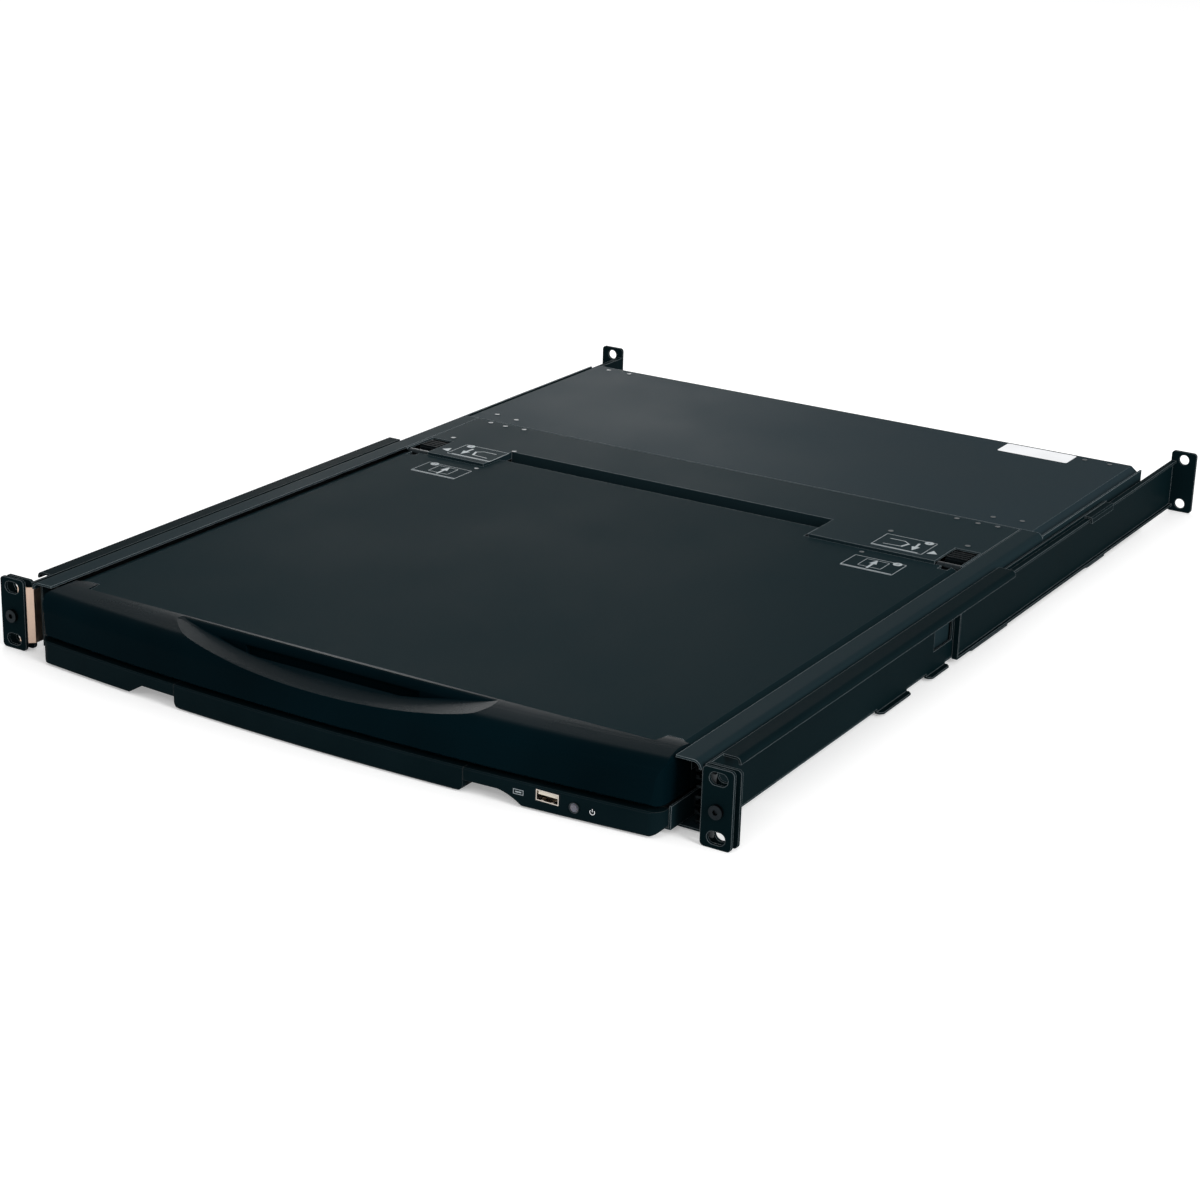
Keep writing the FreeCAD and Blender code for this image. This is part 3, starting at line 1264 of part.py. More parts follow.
def keyboard_fascia():
    """Front panel of the keyboard drawer, left and right of the pull, with port and lamp holes."""
    x = MODULE_HALF_WIDTH + 1
    top = FASCIA_TOP + 1
    left = along_y(
        [
            (-x, top),
            (PULL_X[0] - PULL_GAP, top),
            (PULL_X[0] - PULL_GAP, FASCIA_NOTCH),
            (PULL_X[0] - 24.0, FASCIA_NOTCH),
            (PULL_X[0] - 34.0, FASCIA_LEFT_BOTTOM),
            (-x + 5, FASCIA_LEFT_BOTTOM),
            (-x, FASCIA_LEFT_BOTTOM + 4),
        ],
        (-80, 40),
    )
    right = along_y(
        [
            (x, top),
            (PULL_X[1] + PULL_GAP, top),
            (PULL_X[1] + PULL_GAP, FASCIA_NOTCH),
            (PULL_X[1] + 21.0, FASCIA_NOTCH),
            ((PULL_X[1] + 28.5, FASCIA_NOTCH - 2.4), (PULL_X[1] + 35.0, FASCIA_RIGHT_BOTTOM)),
            (x - 8, FASCIA_RIGHT_BOTTOM),
            ((x - 2.4, FASCIA_RIGHT_BOTTOM + 2.4), (x, FASCIA_RIGHT_BOTTOM + 8)),
        ],
        (-80, 40),
    )
    beam = block((PULL_X[0] - 0.3, PULL_X[1] + 0.3), (-6.0, FASCIA_BACK), (FASCIA_NOTCH, FASCIA_TOP))
    slab = fascia_slab()
    usb = usb_box(0.15, (-80, 40))
    lamp = rod((LED_X, -60, LED_Z), (0, 1, 0), 100, LED_RADIUS + 0.1)
    return joined([slab.common(left), slab.common(right), beam]).cut([usb, lamp])


def drawer_pull():
    """Pull in the middle of the fascia, with rounded lower corners."""
    x = PULL_X
    r = 4.0
    outline = [
        (x[0], FASCIA_TOP + 1),
        (x[0], PULL_BOTTOM + r),
        (arc_middle((x[0] + r, PULL_BOTTOM + r), r, 225), (x[0] + r, PULL_BOTTOM)),
        (x[1] - r, PULL_BOTTOM),
        (arc_middle((x[1] - r, PULL_BOTTOM + r), r, 315), (x[1], PULL_BOTTOM + r)),
        (x[1], FASCIA_TOP + 1),
    ]
    body = fascia_slab().common(along_y(outline, (-80, -6.0)))
    grip = rod((x[0] + 12, -8.5, PULL_BOTTOM - 0.5), (1, 0, 0), x[1] - x[0] - 24, 3.6)
    return body.cut(grip)


def usb_box(grow, y):
    """Rectangular space of the USB socket."""
    w, h = USB_SIZE[0] / 2 + grow, USB_SIZE[1] / 2 + grow
    return block((USB_X - w, USB_X + w), y, (USB_Z - h, USB_Z + h))


def usb_port():
    """USB socket: plated shell and its contact tongue."""
    front = bow_y(USB_X) - 0.2
    shell = usb_box(0, (front, FASCIA_BACK))
    cavity = usb_box(-0.5, (front - 1, FASCIA_BACK - 1.5))
    w, h = USB_SIZE[0] / 2, USB_SIZE[1] / 2
    tongue = block(
        (USB_X - w + 1.2, USB_X + w - 1.2), (front + 1.6, FASCIA_BACK - 1), (USB_Z + 0.2, USB_Z + h - 0.9)
    )
    return joined([shell.cut(cavity), tongue])


def power_led():
    """Lens of the power lamp."""
    front = bow_y(LED_X)
    return joined([
        rod((LED_X, front - 0.3, LED_Z), (0, 1, 0), FASCIA_BACK - front, LED_RADIUS),
        rod((LED_X, front - 0.9, LED_Z), (0, 1, 0), 1.0, LED_RADIUS - 0.7),
    ])


def keyboard_deck():
    """Moulded deck: palm rest, wells for keys, touch pad and its buttons."""
    x = DECK_HALF_WIDTH
    y = (FASCIA_BACK, TRAY_REAR - TRAY_SHEET - DECK_CLEARANCE)
    floor_top = TRAY_FLOOR + TRAY_SHEET
    body = block((-x, x), y, (floor_top, DECK_TOP))
    rows_rear = KEYS_FRONT + len(KEY_ROWS) * KEY_PITCH + FUNCTION_ROW_GAP
    well = block(
        (-KEY_FIELD_WIDTH / 2 - 0.8, KEY_FIELD_WIDTH / 2 + 0.8),
        (KEYS_FRONT - 0.8, rows_rear + 0.8),
        (floor_top - 1, DECK_TOP + 1),
    )
    hollow_z = (floor_top - 1, DECK_TOP - DECK_SKIN)
    hollows = [
        block((-x + 2, x - 2), (y[0] + 2, KEYS_FRONT - 3), hollow_z),
        block((-x + 2, x - 2), (rows_rear + 3, y[1] - 2), hollow_z),
    ]
    c = PAD_CLEARANCE
    reach = PAD_HALF_WIDTH + c
    pad = block((-reach, reach), (PAD_Y[0] - c, PAD_Y[1] + c), (DECK_TOP - 1.3, DECK_TOP + 1))
    buttons = block(
        (-reach, reach), (PAD_BUTTON_Y[0] - c, PAD_BUTTON_Y[1] + c), (DECK_TOP - 5, DECK_TOP + 1)
    )
    ledge = block((-PAD_HALF_WIDTH, PAD_HALF_WIDTH), PAD_BUTTON_Y, (floor_top, DECK_TOP - 4.2))
    return joined([body.cut([well, *hollows, pad, buttons]), ledge])


KEY_ROWS = (
    ((1.5, 1, 1.5, -7, 1.5, 1, 1.5), (1, 1, 1), (2, 1, 1)),
    ((2.25,) + (1,) * 10 + (2.75,), (-1, 1, -1), (1, 1, 1, 1)),
    ((1.75,) + (1,) * 11 + (2.25,), (-3,), (1, 1, 1, 1)),
    ((1.5,) + (1,) * 12 + (1.5,), (1, 1, 1), (1, 1, 1, 1)),
    ((1,) * 13 + (2,), (1, 1, 1), (1, 1, 1, 1)),
    ((1,) * 15, (1, 1, 1), (1, 1, 1, 1)),
)


def row_front(row):
    """Front edge of a key row; the function row stands off from the rest."""
    last = row == len(KEY_ROWS) - 1
    return KEYS_FRONT + row * KEY_PITCH + (FUNCTION_ROW_GAP if last else 0.0)


def keycap(x0, width, row):
    """Tapered keycap with its guide stem."""
    x = x0 + width * KEY_PITCH / 2
    y = row_front(row) + KEY_PITCH / 2
    foot = ((width * KEY_PITCH - KEY_GAP) / 2, (KEY_PITCH - KEY_GAP) / 2)
    top = (foot[0] - KEY_TAPER, foot[1] - KEY_TAPER)
    low = KEY_TOP - KEY_HEIGHT
    cap = Part.makeWedge(
        -foot[0], 0, -foot[1], -top[1], -top[0], foot[0], KEY_HEIGHT, foot[1], top[1], top[0]
    )
    cap.rotate(Vector(0, 0, 0), Vector(1, 0, 0), 90)
    cap.translate(Vector(x, y, low))
    half = KEY_STEM / 2
    stem = block((x - half, x + half), (y - half, y + half), (KEY_STEM_FOOT, low))
    return joined([cap, stem])


def key_row(row):
    """All the keys of one row, apart from the space bar."""
    keys = []
    x = -KEY_FIELD_WIDTH / 2
    for section in KEY_ROWS[row]:
        for width in section:
            if width > 0:
                keys.append(keycap(x, width, row))
            x += abs(width) * KEY_PITCH
        x += BLOCK_GAP
    return group(keys)


def space_bar():
    """The long key of the front row."""
    left = -KEY_FIELD_WIDTH / 2 + sum(KEY_ROWS[0][0][:3]) * KEY_PITCH
    return keycap(left, 7, 0)


def keyboard_base():
    """Base plate of the keyboard, with one guide groove for each row of stems."""
    half = KEY_FIELD_WIDTH / 2 + 0.5
    y = (KEYS_FRONT - 0.5, KEYS_FRONT + len(KEY_ROWS) * KEY_PITCH + FUNCTION_ROW_GAP + 0.5)
    body = block((-half, half), y, (TRAY_FLOOR + TRAY_SHEET, KEY_BASE_TOP))
    grooves = []
    for row in range(len(KEY_ROWS)):
        middle = row_front(row) + KEY_PITCH / 2
        reach = KEY_STEM / 2 + 0.2
        grooves.append(
            block(
                (-half + 3, half - 3),
                (middle - reach, middle + reach),
                (KEY_STEM_FOOT - KEY_TRAVEL - 0.3, KEY_BASE_TOP + 1),
            )
        )
    return body.cut(grooves)


def touchpad():
    """Touch surface, level with its recess."""
    return block((-PAD_HALF_WIDTH, PAD_HALF_WIDTH), PAD_Y, (DECK_TOP - 1.3, DECK_TOP - 0.2))


def touchpad_button():
    """Right-hand button below the touch surface."""
    top = DECK_TOP + 0.3
    return block((0.4, PAD_HALF_WIDTH - 0.1), PAD_BUTTON_Y, (DECK_TOP - 2.9, top))


# --- assembly ---------------------------------------------------------------------------
def both_sides(name, shape):
    """A right-hand part and its mirror image, as two nodes."""
    return {name + "_right": shape, name + "_left": mirrored(shape)}


def pair(shape):
    """A right-hand part and its mirror image, as one node."""
    return group([shape, mirrored(shape)])


def build():
    """Every node of the assembly."""
    nodes = {
        "chassis_tray": chassis_tray(),
        "rear_cover": rear_cover(),
        "rear_bulkhead": rear_bulkhead(),
        "rear_panel": rear_panel(),
        "main_board": main_board(),
        "power_supply": power_supply(),
        "power_inlet": power_inlet(),
        "power_switch_body": power_switch_body(),
        "power_rocker": power_rocker(),
        "console_port": console_port(),
        "ear_screws": pair(ear_screw()),
        "carriage_cover": carriage_cover(),
        "carriage_base": carriage_base(),
        "hinge_pins": pair(hinge_pin()),
        "lcd_front_cap": lcd_front_cap(),
        "lcd_back_plate": lcd_back_plate(),
        "lcd_inner_bezel": lcd_inner_bezel(),
        "lcd_glass": lcd_glass(),
        "lcd_panel": lcd_panel(),
        "osd_board": osd_board(),
        "osd_buttons": group([osd_button(x) for x in OSD_X]),
        "lcd_power_button": osd_button(LCD_POWER_X),
        "keyboard_tray": keyboard_tray(),
        "keyboard_fascia": keyboard_fascia(),
        "drawer_pull": drawer_pull(),
        "usb_port": usb_port(),
        "power_led": power_led(),
        "keyboard_deck": keyboard_deck(),
        "keyboard_base": keyboard_base(),
        "touchpad": touchpad(),
        "space_bar": space_bar(),
    }
    nodes.update(both_sides("chassis_ear", chassis_ear()))
    nodes.update(both_sides("ear_bracket", ear_bracket()))
    nodes.update(both_sides("rail_front", rail_front()))
    nodes.update(both_sides("rail_rear", rail_rear()))
    nodes.update(both_sides("hinge_bracket", hinge_bracket()))
    nodes.update(both_sides("lcd_hinge_arm", lcd_hinge_arm()))
    nodes.update(both_sides("release_catch", release_catch()))
    nodes.update(both_sides("touchpad_button", touchpad_button()))
    slides = (
        ("lcd_slide", LCD_SLIDE_Z, LCD_SLIDE_HEIGHT, CARRIAGE_REAR - 1),
        ("keyboard_slide", KEY_SLIDE_Z, KEY_SLIDE_HEIGHT, CARRIAGE_REAR - 1),
    )
    for name, z_mid, height, inner_end in slides:
        nodes[name + "_outer"] = pair(slide_outer(z_mid, height))
        nodes[name + "_middle"] = pair(slide_middle(z_mid, height))
        nodes[name + "_inner"] = pair(slide_inner(z_mid, height, inner_end))
    for row in range(len(KEY_ROWS)):
        nodes["key_row_%d" % (row + 1)] = key_row(row)
    return nodes


os.makedirs("parts", exist_ok=True)
for node_name, node_shape in build().items():
    node_shape.exportStep("parts/%s.step" % node_name)
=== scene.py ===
"""Looks of the rack console drawer: finishes, printed marks, fasteners, floor, light and camera."""
import json
import logging
import math
from dataclasses import dataclass, field
from enum import Enum
from typing import Any, Callable, Optional, Sequence

import bpy
from mathutils import Euler, Matrix, Vector

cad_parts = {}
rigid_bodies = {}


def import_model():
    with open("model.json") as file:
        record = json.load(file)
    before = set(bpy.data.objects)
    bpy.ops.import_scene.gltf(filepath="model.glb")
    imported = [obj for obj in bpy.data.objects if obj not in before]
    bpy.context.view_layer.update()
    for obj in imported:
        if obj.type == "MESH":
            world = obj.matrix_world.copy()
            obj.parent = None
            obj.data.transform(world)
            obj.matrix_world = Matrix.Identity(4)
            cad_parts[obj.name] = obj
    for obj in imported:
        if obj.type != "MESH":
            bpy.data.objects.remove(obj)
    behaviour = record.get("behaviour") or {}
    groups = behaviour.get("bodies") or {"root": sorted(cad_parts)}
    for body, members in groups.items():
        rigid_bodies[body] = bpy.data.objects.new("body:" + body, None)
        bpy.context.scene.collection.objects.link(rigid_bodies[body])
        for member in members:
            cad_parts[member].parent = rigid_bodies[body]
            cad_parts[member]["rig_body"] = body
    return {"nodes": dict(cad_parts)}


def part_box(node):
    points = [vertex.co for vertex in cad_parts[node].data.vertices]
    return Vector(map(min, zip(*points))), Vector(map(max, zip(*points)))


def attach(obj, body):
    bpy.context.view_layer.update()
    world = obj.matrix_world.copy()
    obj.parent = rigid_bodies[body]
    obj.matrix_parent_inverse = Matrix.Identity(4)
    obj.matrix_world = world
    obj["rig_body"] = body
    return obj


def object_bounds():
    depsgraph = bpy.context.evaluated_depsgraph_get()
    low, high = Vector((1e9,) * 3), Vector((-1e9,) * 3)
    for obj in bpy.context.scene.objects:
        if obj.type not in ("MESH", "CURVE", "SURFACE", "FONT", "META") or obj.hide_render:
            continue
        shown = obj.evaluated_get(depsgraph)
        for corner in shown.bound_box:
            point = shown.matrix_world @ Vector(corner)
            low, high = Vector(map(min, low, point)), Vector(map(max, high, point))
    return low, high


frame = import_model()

LOG = logging.getLogger("console_drawer")
CAD_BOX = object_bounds()
MM = 0.001
NOISE_MIDDLE = (0.3, 0.7)
EDGE_SAMPLES = 6
EDGE_GAIN = 3.4
MERGE_DISTANCE = 1e-7
SMOOTH_ANGLE = 35.0
FACING_SHARE = 0.9
STRAIGHT_SHARE = 0.99
Colour = tuple[float, float, float]
Waves = tuple[float, float, float]
Span = tuple[float, float]


def scaled(colour: Colour, factor: float, lift: float = 0.0) -> Colour:
    """Colour made lighter or darker, up to full."""
    return tuple(min(1.0, part * factor + lift) for part in colour)


# --- shader building ----------------------------------------------------------------------
class Field:
    """A value that varies over a surface: a node's output, with arithmetic."""

    def __init__(self, graph: "Graph", socket: bpy.types.NodeSocket) -> None:
        """Keep the socket and the graph it belongs to."""
        self.graph = graph
        self.socket = socket

    def __add__(self, other: Any) -> "Field":
        """Sum."""
        return self.graph.math("ADD", self, other)

    __radd__ = __add__

    def __mul__(self, other: Any) -> "Field":
        """Product."""
        return self.graph.math("MULTIPLY", self, other)

    __rmul__ = __mul__

    def __sub__(self, other: Any) -> "Field":
        """Difference."""
        return self.graph.math("SUBTRACT", self, other)

    def __rsub__(self, other: Any) -> "Field":
        """Difference from a value on the left."""
        return self.graph.math("SUBTRACT", other, self)

    def __lt__(self, other: Any) -> "Field":
        """One where this is less, else zero."""
        return self.graph.math("LESS_THAN", self, other)


class Graph:
    """Node tree of a material or of the surroundings."""

    def __init__(self, tree: bpy.types.NodeTree) -> None:
        """Keep the tree and empty it."""
        self.tree = tree
        self.tree.nodes.clear()

    def node(
        self,
        kind: str,
        settings: Optional[dict[str, Any]] = None,
        inputs: Optional[dict[Any, Any]] = None,
    ) -> bpy.types.Node:
        """Add a node.

        Args:
            kind: type name of the node.
            settings: properties set before its sockets.
            inputs: a number, colour, socket or Field for each socket, by name or index.

        Returns:
            The new node.
        """
        made = self.tree.nodes.new(kind)
        for key, value in (settings or {}).items():
            setattr(made, key, value)
        for key, value in (inputs or {}).items():
            self.feed(made.inputs[key], value)
        return made

    def feed(self, socket: bpy.types.NodeSocket, value: Any) -> None:
        """Link or set one input socket.

        Args:
            socket: the input.
            value: a Field, an output socket, a number or a colour.
        """
        if isinstance(value, Field):
            self.tree.links.new(value.socket, socket)
        elif isinstance(value, bpy.types.NodeSocket):
            self.tree.links.new(value, socket)
        elif isinstance(value, tuple) and socket.type == "RGBA":
            socket.default_value = (*value[:3], 1.0)
        else:
            socket.default_value = value

    def math(self, operation: str, first: Any, second: Any, clamp: bool = False) -> Field:
        """Math node of two values.

        Args:
            operation: what it works out.
            first: its first value.
            second: its second value.
            clamp: whether the result is kept between zero and one.

        Returns:
            The result.
        """
        settings = {"operation": operation, "use_clamp": clamp}
        return Field(self, self.node("ShaderNodeMath", settings, {0: first, 1: second}).outputs[0])

    def background_rays(self) -> Field:
        """One for rays that show the background, directly or in a reflection."""
        path = self.node("ShaderNodeLightPath")
        camera = Field(self, path.outputs["Is Camera Ray"])
        glossy = Field(self, path.outputs["Is Glossy Ray"])
        through = Field(self, path.outputs["Is Transmission Ray"])
        return self.math("ADD", camera + glossy, through, clamp=True)


class Shader(Graph):
    """Node tree of one material."""

    def __init__(self, name: str) -> None:
        """Make an empty material with its output and Principled shader."""
        self.material = bpy.data.materials.new(name)
        self.material.use_nodes = True
        super().__init__(self.material.node_tree)
        self.output = self.node("ShaderNodeOutputMaterial")
        self.surface = self.node("ShaderNodeBsdfPrincipled")
        self.feed(self.output.inputs["Surface"], self.surface.outputs[0])

    def place(self, scale: Sequence[float] = (1.0, 1.0, 1.0), turn: float = 0.0) -> bpy.types.NodeSocket:
        """Object coordinates, scaled and turned about Z.

        Args:
            scale: factor for each axis.
            turn: angle in degrees.

        Returns:
            The vector output.
        """
        where = self.node("ShaderNodeTexCoord").outputs["Object"]
        turned = (0.0, 0.0, math.radians(turn))
        mapping = self.node("ShaderNodeMapping", None, {"Vector": where, "Scale": scale, "Rotation": turned})
        return mapping.outputs[0]

    def noise(self, waves: Waves, stretch: Sequence[float] = (1.0, 1.0, 1.0)) -> Field:
        """Noise centred on one half.

        Args:
            waves: how many there are in a metre, the octaves, and the weight of the finer octaves.
            stretch: factor for each axis.

        Returns:
            The noise value.
        """
        per_metre, octaves, finer = waves
        inputs = {"Vector": self.place(stretch), "Scale": per_metre, "Detail": octaves, "Roughness": finer}
        return Field(self, self.node("ShaderNodeTexNoise", None, inputs).outputs[0])

    def specks(self, per_metre: float, size: float) -> Field:
        """Round specks scattered over the surface.

        Args:
            per_metre: cells in a metre.
            size: radius of a speck as a share of its cell.

        Returns:
            One inside a speck and zero outside.
        """
        cells = self.node("ShaderNodeTexVoronoi", None, {"Vector": self.place(), "Scale": per_metre})
        return Field(self, cells.outputs["Distance"]) < size

    def blend(self, share: Any, first: Any, second: Any) -> bpy.types.NodeSocket:
        """Mix two colours.

        Args:
            share: how much of the second colour there is.
            first: colour or socket.
            second: colour or socket.

        Returns:
            The colour output.
        """
        return self.node("ShaderNodeMix", {"data_type": "RGBA"}, {0: share, 6: first, 7: second}).outputs[2]

    def spread(self, value: Field, low: float, high: float) -> Field:
        """Stretch the middle of a noise to a range.

        Args:
            value: noise between zero and one.
            low: result where the noise is low.
            high: result where it is high.

        Returns:
            The value, clamped to the range.
        """
        inputs = {0: value, 1: NOISE_MIDDLE[0], 2: NOISE_MIDDLE[1], 3: low, 4: high}
        return Field(self, self.node("ShaderNodeMapRange", {"clamp": True}, inputs).outputs[0])

    def mottle(self, value: Field, first: Any, second: Any) -> bpy.types.NodeSocket:
        """Mix two colours in clouds.

        Args:
            value: noise between zero and one.
            first: colour where the noise is low.
            second: colour where it is high.

        Returns:
            The colour output.
        """
        return self.blend(self.spread(value, 0.0, 1.0), first, second)

    def edges(self, radius: float) -> Field:
        """Mask of the sharp edges.

        Args:
            radius: how far the mask reaches from an edge, in metres.

        Returns:
            One on an edge, fading to zero on flat places.
        """
        rounded = self.node("ShaderNodeBevel", {"samples": EDGE_SAMPLES}, {"Radius": radius}).outputs[0]
        plain = self.node("ShaderNodeNewGeometry").outputs["Normal"]
        along = self.node("ShaderNodeVectorMath", {"operation": "DOT_PRODUCT"}, {0: rounded, 1: plain})
        return self.math("MULTIPLY", 1.0 - Field(self, along.outputs["Value"]), EDGE_GAIN, clamp=True)

    def bump(self, height: Field, distance: float) -> bpy.types.NodeSocket:
        """Surface relief.

        Args:
            height: relief between zero and one.
            distance: its depth in metres.

        Returns:
            The normal output.
        """
        inputs = {"Strength": 1.0, "Distance": distance, "Height": height}
        return self.node("ShaderNodeBump", None, inputs).outputs[0]

    def set(self, **sockets: Any) -> None:
        """Set or link inputs of the Principled shader; an underscore stands for a space."""
        for name, value in sockets.items():
            self.feed(self.surface.inputs[name.replace("_", " ")], value)


# --- finishes -----------------------------------------------------------------------------
@dataclass(frozen=True)
class Paint:
    """Black powder coat on sheet steel: fine grain, soft mottling, a little dust, and lighter sharp edges that are
    partly wear and partly a painted highlight.
    """

    name: str
    colour: Colour
    worn: Colour
    sheen_level: float
    sheen_tint: Colour = (0.72, 0.94, 1.0)
    rough: Span = (0.42, 0.52)
    cloud: Waves = (9.0, 3.0, 0.6)
    grain: Waves = (2600.0, 2.0, 0.6)
    grain_share: float = 0.6
    grain_rough: float = 0.04
    grain_depth: float = 0.00003
    peel: Waves = (900.0, 1.0, 0.4)
    peel_share: float = 0.4
    # edge, edge_share, edge_reach: lighter colour along sharp edges, partly paint wear and partly a painted highlight
    # where edges catch the light
    edge: Colour = (0.230, 0.266, 0.282)
    edge_share: float = 0.85
    edge_reach: float = 0.0007
    dust: Colour = (0.30, 0.31, 0.31)
    dust_share: float = 0.05
    dust_cells: float = 260.0
    dust_size: float = 0.035

    def material(self) -> bpy.types.Material:
        """Build the material."""
        shader = Shader(self.name)
        broad = shader.noise(self.cloud)
        fine = shader.noise(self.grain)
        peel = shader.noise(self.peel)
        specks = shader.specks(self.dust_cells, self.dust_size)
        base = shader.mottle(broad, self.colour, self.worn)
        # painted edge highlight, partly wear: the base colour is lightened towards the edge colour along sharp edges
        edge_highlight_and_wear = shader.blend(shader.edges(self.edge_reach) * self.edge_share, base, self.edge)
        shader.set(
            Base_Color=shader.blend(specks * self.dust_share, edge_highlight_and_wear, self.dust),
            Roughness=shader.spread(broad, *self.rough) + fine * self.grain_rough,
            Specular_IOR_Level=self.sheen_level,
            Specular_Tint=self.sheen_tint,
            Normal=shader.bump(fine * self.grain_share + peel * self.peel_share, self.grain_depth),
        )
        return shader.material


@dataclass(frozen=True)
class Gloss:
    """Moulded black plastic with a polished face."""

    name: str
    colour: Colour = (0.0005, 0.0036, 0.0052)
    lighter: float = 1.5
    rough: Span = (0.20, 0.28)
    sheen_level: float = 0.0066
    sheen_tint: Colour = (0.55, 0.88, 1.0)
    cloud: Waves = (14.0, 2.0, 0.5)
    ripple: Waves = (1400.0, 2.0, 0.5)
    ripple_rough: float = 0.03
    ripple_depth: float = 0.00002

    def material(self) -> bpy.types.Material:
        """Build the material."""
        shader = Shader(self.name)
        broad = shader.noise(self.cloud)
        fine = shader.noise(self.ripple)
        shader.set(
            Base_Color=shader.mottle(broad, self.colour, scaled(self.colour, self.lighter)),
            Roughness=shader.spread(broad, *self.rough) + fine * self.ripple_rough,
            Specular_IOR_Level=self.sheen_level,
            Specular_Tint=self.sheen_tint,
            Normal=shader.bump(fine, self.ripple_depth),
        )
        return shader.material


@dataclass(frozen=True)
class Metal:
    """Bare or plated metal with a rolling direction."""

    name: str
    colour: Colour
    dark: Colour
    rough: Span
    along: Sequence[float] = (1.0, 0.04, 1.0)
    brush: Waves = (900.0, 3.0, 0.6)
    brush_share: float = 0.5
    brush_depth: float = 0.00002
    cloud: Waves = (40.0, 3.0, 0.6)
    cloud_share: float = 0.5

    def material(self) -> bpy.types.Material:
        """Build the material."""
        shader = Shader(self.name)
        brushed = shader.noise(self.brush, self.along)
        cloud = shader.noise(self.cloud)
        tone = cloud * self.cloud_share + brushed * self.brush_share
        shader.set(
            Base_Color=shader.mottle(tone, self.dark, self.colour),
            Metallic=1.0,
            Roughness=shader.spread(brushed, *self.rough),
            Normal=shader.bump(brushed, self.brush_depth),
        )
        return shader.material


@dataclass(frozen=True)
class Moulded:
    """Matt moulded plastic with a spark-eroded grain."""

    name: str
    colour: Colour
    sheen_level: float
    rough: Span = (0.45, 0.6)
    lighter: Span = (1.25, 0.001)
    cloud: Waves = (25.0, 2.0, 0.5)
    pits: Waves = (1500.0, 2.0, 0.6)
    pit_rough: float = 0.05
    pit_depth: float = 0.00005
    # edge, edge_share, edge_reach: lighter copy of the colour along sharp edges, a painted highlight, partly wear
    edge: Span = (1.6, 0.090)
    edge_share: float = 0.50
    edge_reach: float = 0.0004

    def material(self) -> bpy.types.Material:
        """Build the material."""
        shader = Shader(self.name)
        pits = shader.noise(self.pits)
        cloud = shader.noise(self.cloud)
        base = shader.mottle(cloud, self.colour, scaled(self.colour, *self.lighter))
        # painted edge highlight, partly wear: a lighter copy of the colour along sharp edges
        edge_highlight_and_wear = shader.edges(self.edge_reach) * self.edge_share
        shader.set(
            Base_Color=shader.blend(edge_highlight_and_wear, base, scaled(self.colour, *self.edge)),
            Roughness=shader.spread(cloud, *self.rough) + pits * self.pit_rough,
            Specular_IOR_Level=self.sheen_level,
            Normal=shader.bump(pits, self.pit_depth),
        )
        return shader.material


@dataclass(frozen=True)
class Board:
    """Green circuit board with solder mask over its tracks."""

    name: str
    colour: Colour = (0.010, 0.065, 0.028)
    track: Colour = (0.018, 0.120, 0.050)
    track_turn: float = 45.0
    track_depth: float = 0.00004
    tracks_per_metre: float = 170.0
    track_gap: float = 0.02
    track_length: float = 0.9
    track_offset: float = 0.5
    track_squash: float = 0.6
    rough: Span = (0.28, 0.42)
    cloud: Waves = (60.0, 2.0, 0.5)

    def material(self) -> bpy.types.Material:
        """Build the material."""
        shader = Shader(self.name)
        brick = shader.node(
            "ShaderNodeTexBrick",
            {"offset": self.track_offset, "squash": self.track_squash},
            {
                "Vector": shader.place(turn=self.track_turn),
                "Scale": self.tracks_per_metre,
                "Mortar Size": self.track_gap,
                "Brick Width": self.track_length,
            },
        )
        tracks = Field(shader, brick.outputs["Fac"])
        shader.set(
            Base_Color=shader.blend(tracks, self.colour, self.track),
            Roughness=shader.spread(shader.noise(self.cloud), *self.rough),
            Normal=shader.bump(tracks, self.track_depth),
        )
        return shader.material


@dataclass(frozen=True)
class Glass:
    """Dark display glass with faint smears."""

    name: str
    colour: Colour = (0.006, 0.007, 0.008)
    smear: Colour = (0.010, 0.011, 0.012)
    wiping: Waves = (22.0, 3.0, 0.6)
    wiped_along: Sequence[float] = (1.0, 0.4, 1.0)
    rough: Span = (0.04, 0.14)
    sheen_level: float = 0.12
    coat: Span = (0.10, 0.12)

    def material(self) -> bpy.types.Material:
        """Build the material."""
        shader = Shader(self.name)
        smears = shader.noise(self.wiping, self.wiped_along)
        weight, coat_rough = self.coat
        shader.set(
            Base_Color=shader.mottle(smears, self.colour, self.smear),
            Roughness=shader.spread(smears, *self.rough),
            Specular_IOR_Level=self.sheen_level,
            Coat_Weight=weight,
            Coat_Roughness=coat_rough,
        )
        return shader.material


@dataclass(frozen=True)
class Lens:
    """Milky lamp lens, unlit."""

    name: str
    colour: Colour = (0.085, 0.080, 0.105)
    milk: Colour = (0.130, 0.124, 0.155)
    cloud: Waves = (900.0, 2.0, 0.5)
    milk_depth: float = 0.15
    rough: Span = (0.18, 0.30)

    def material(self) -> bpy.types.Material:
        """Build the material."""
        shader = Shader(self.name)
        cloud = shader.noise(self.cloud)
        shader.set(
            Base_Color=shader.mottle(cloud, self.colour, self.milk),
            Roughness=shader.spread(cloud, *self.rough),
            Subsurface_Weight=self.milk_depth,
        )
        return shader.material


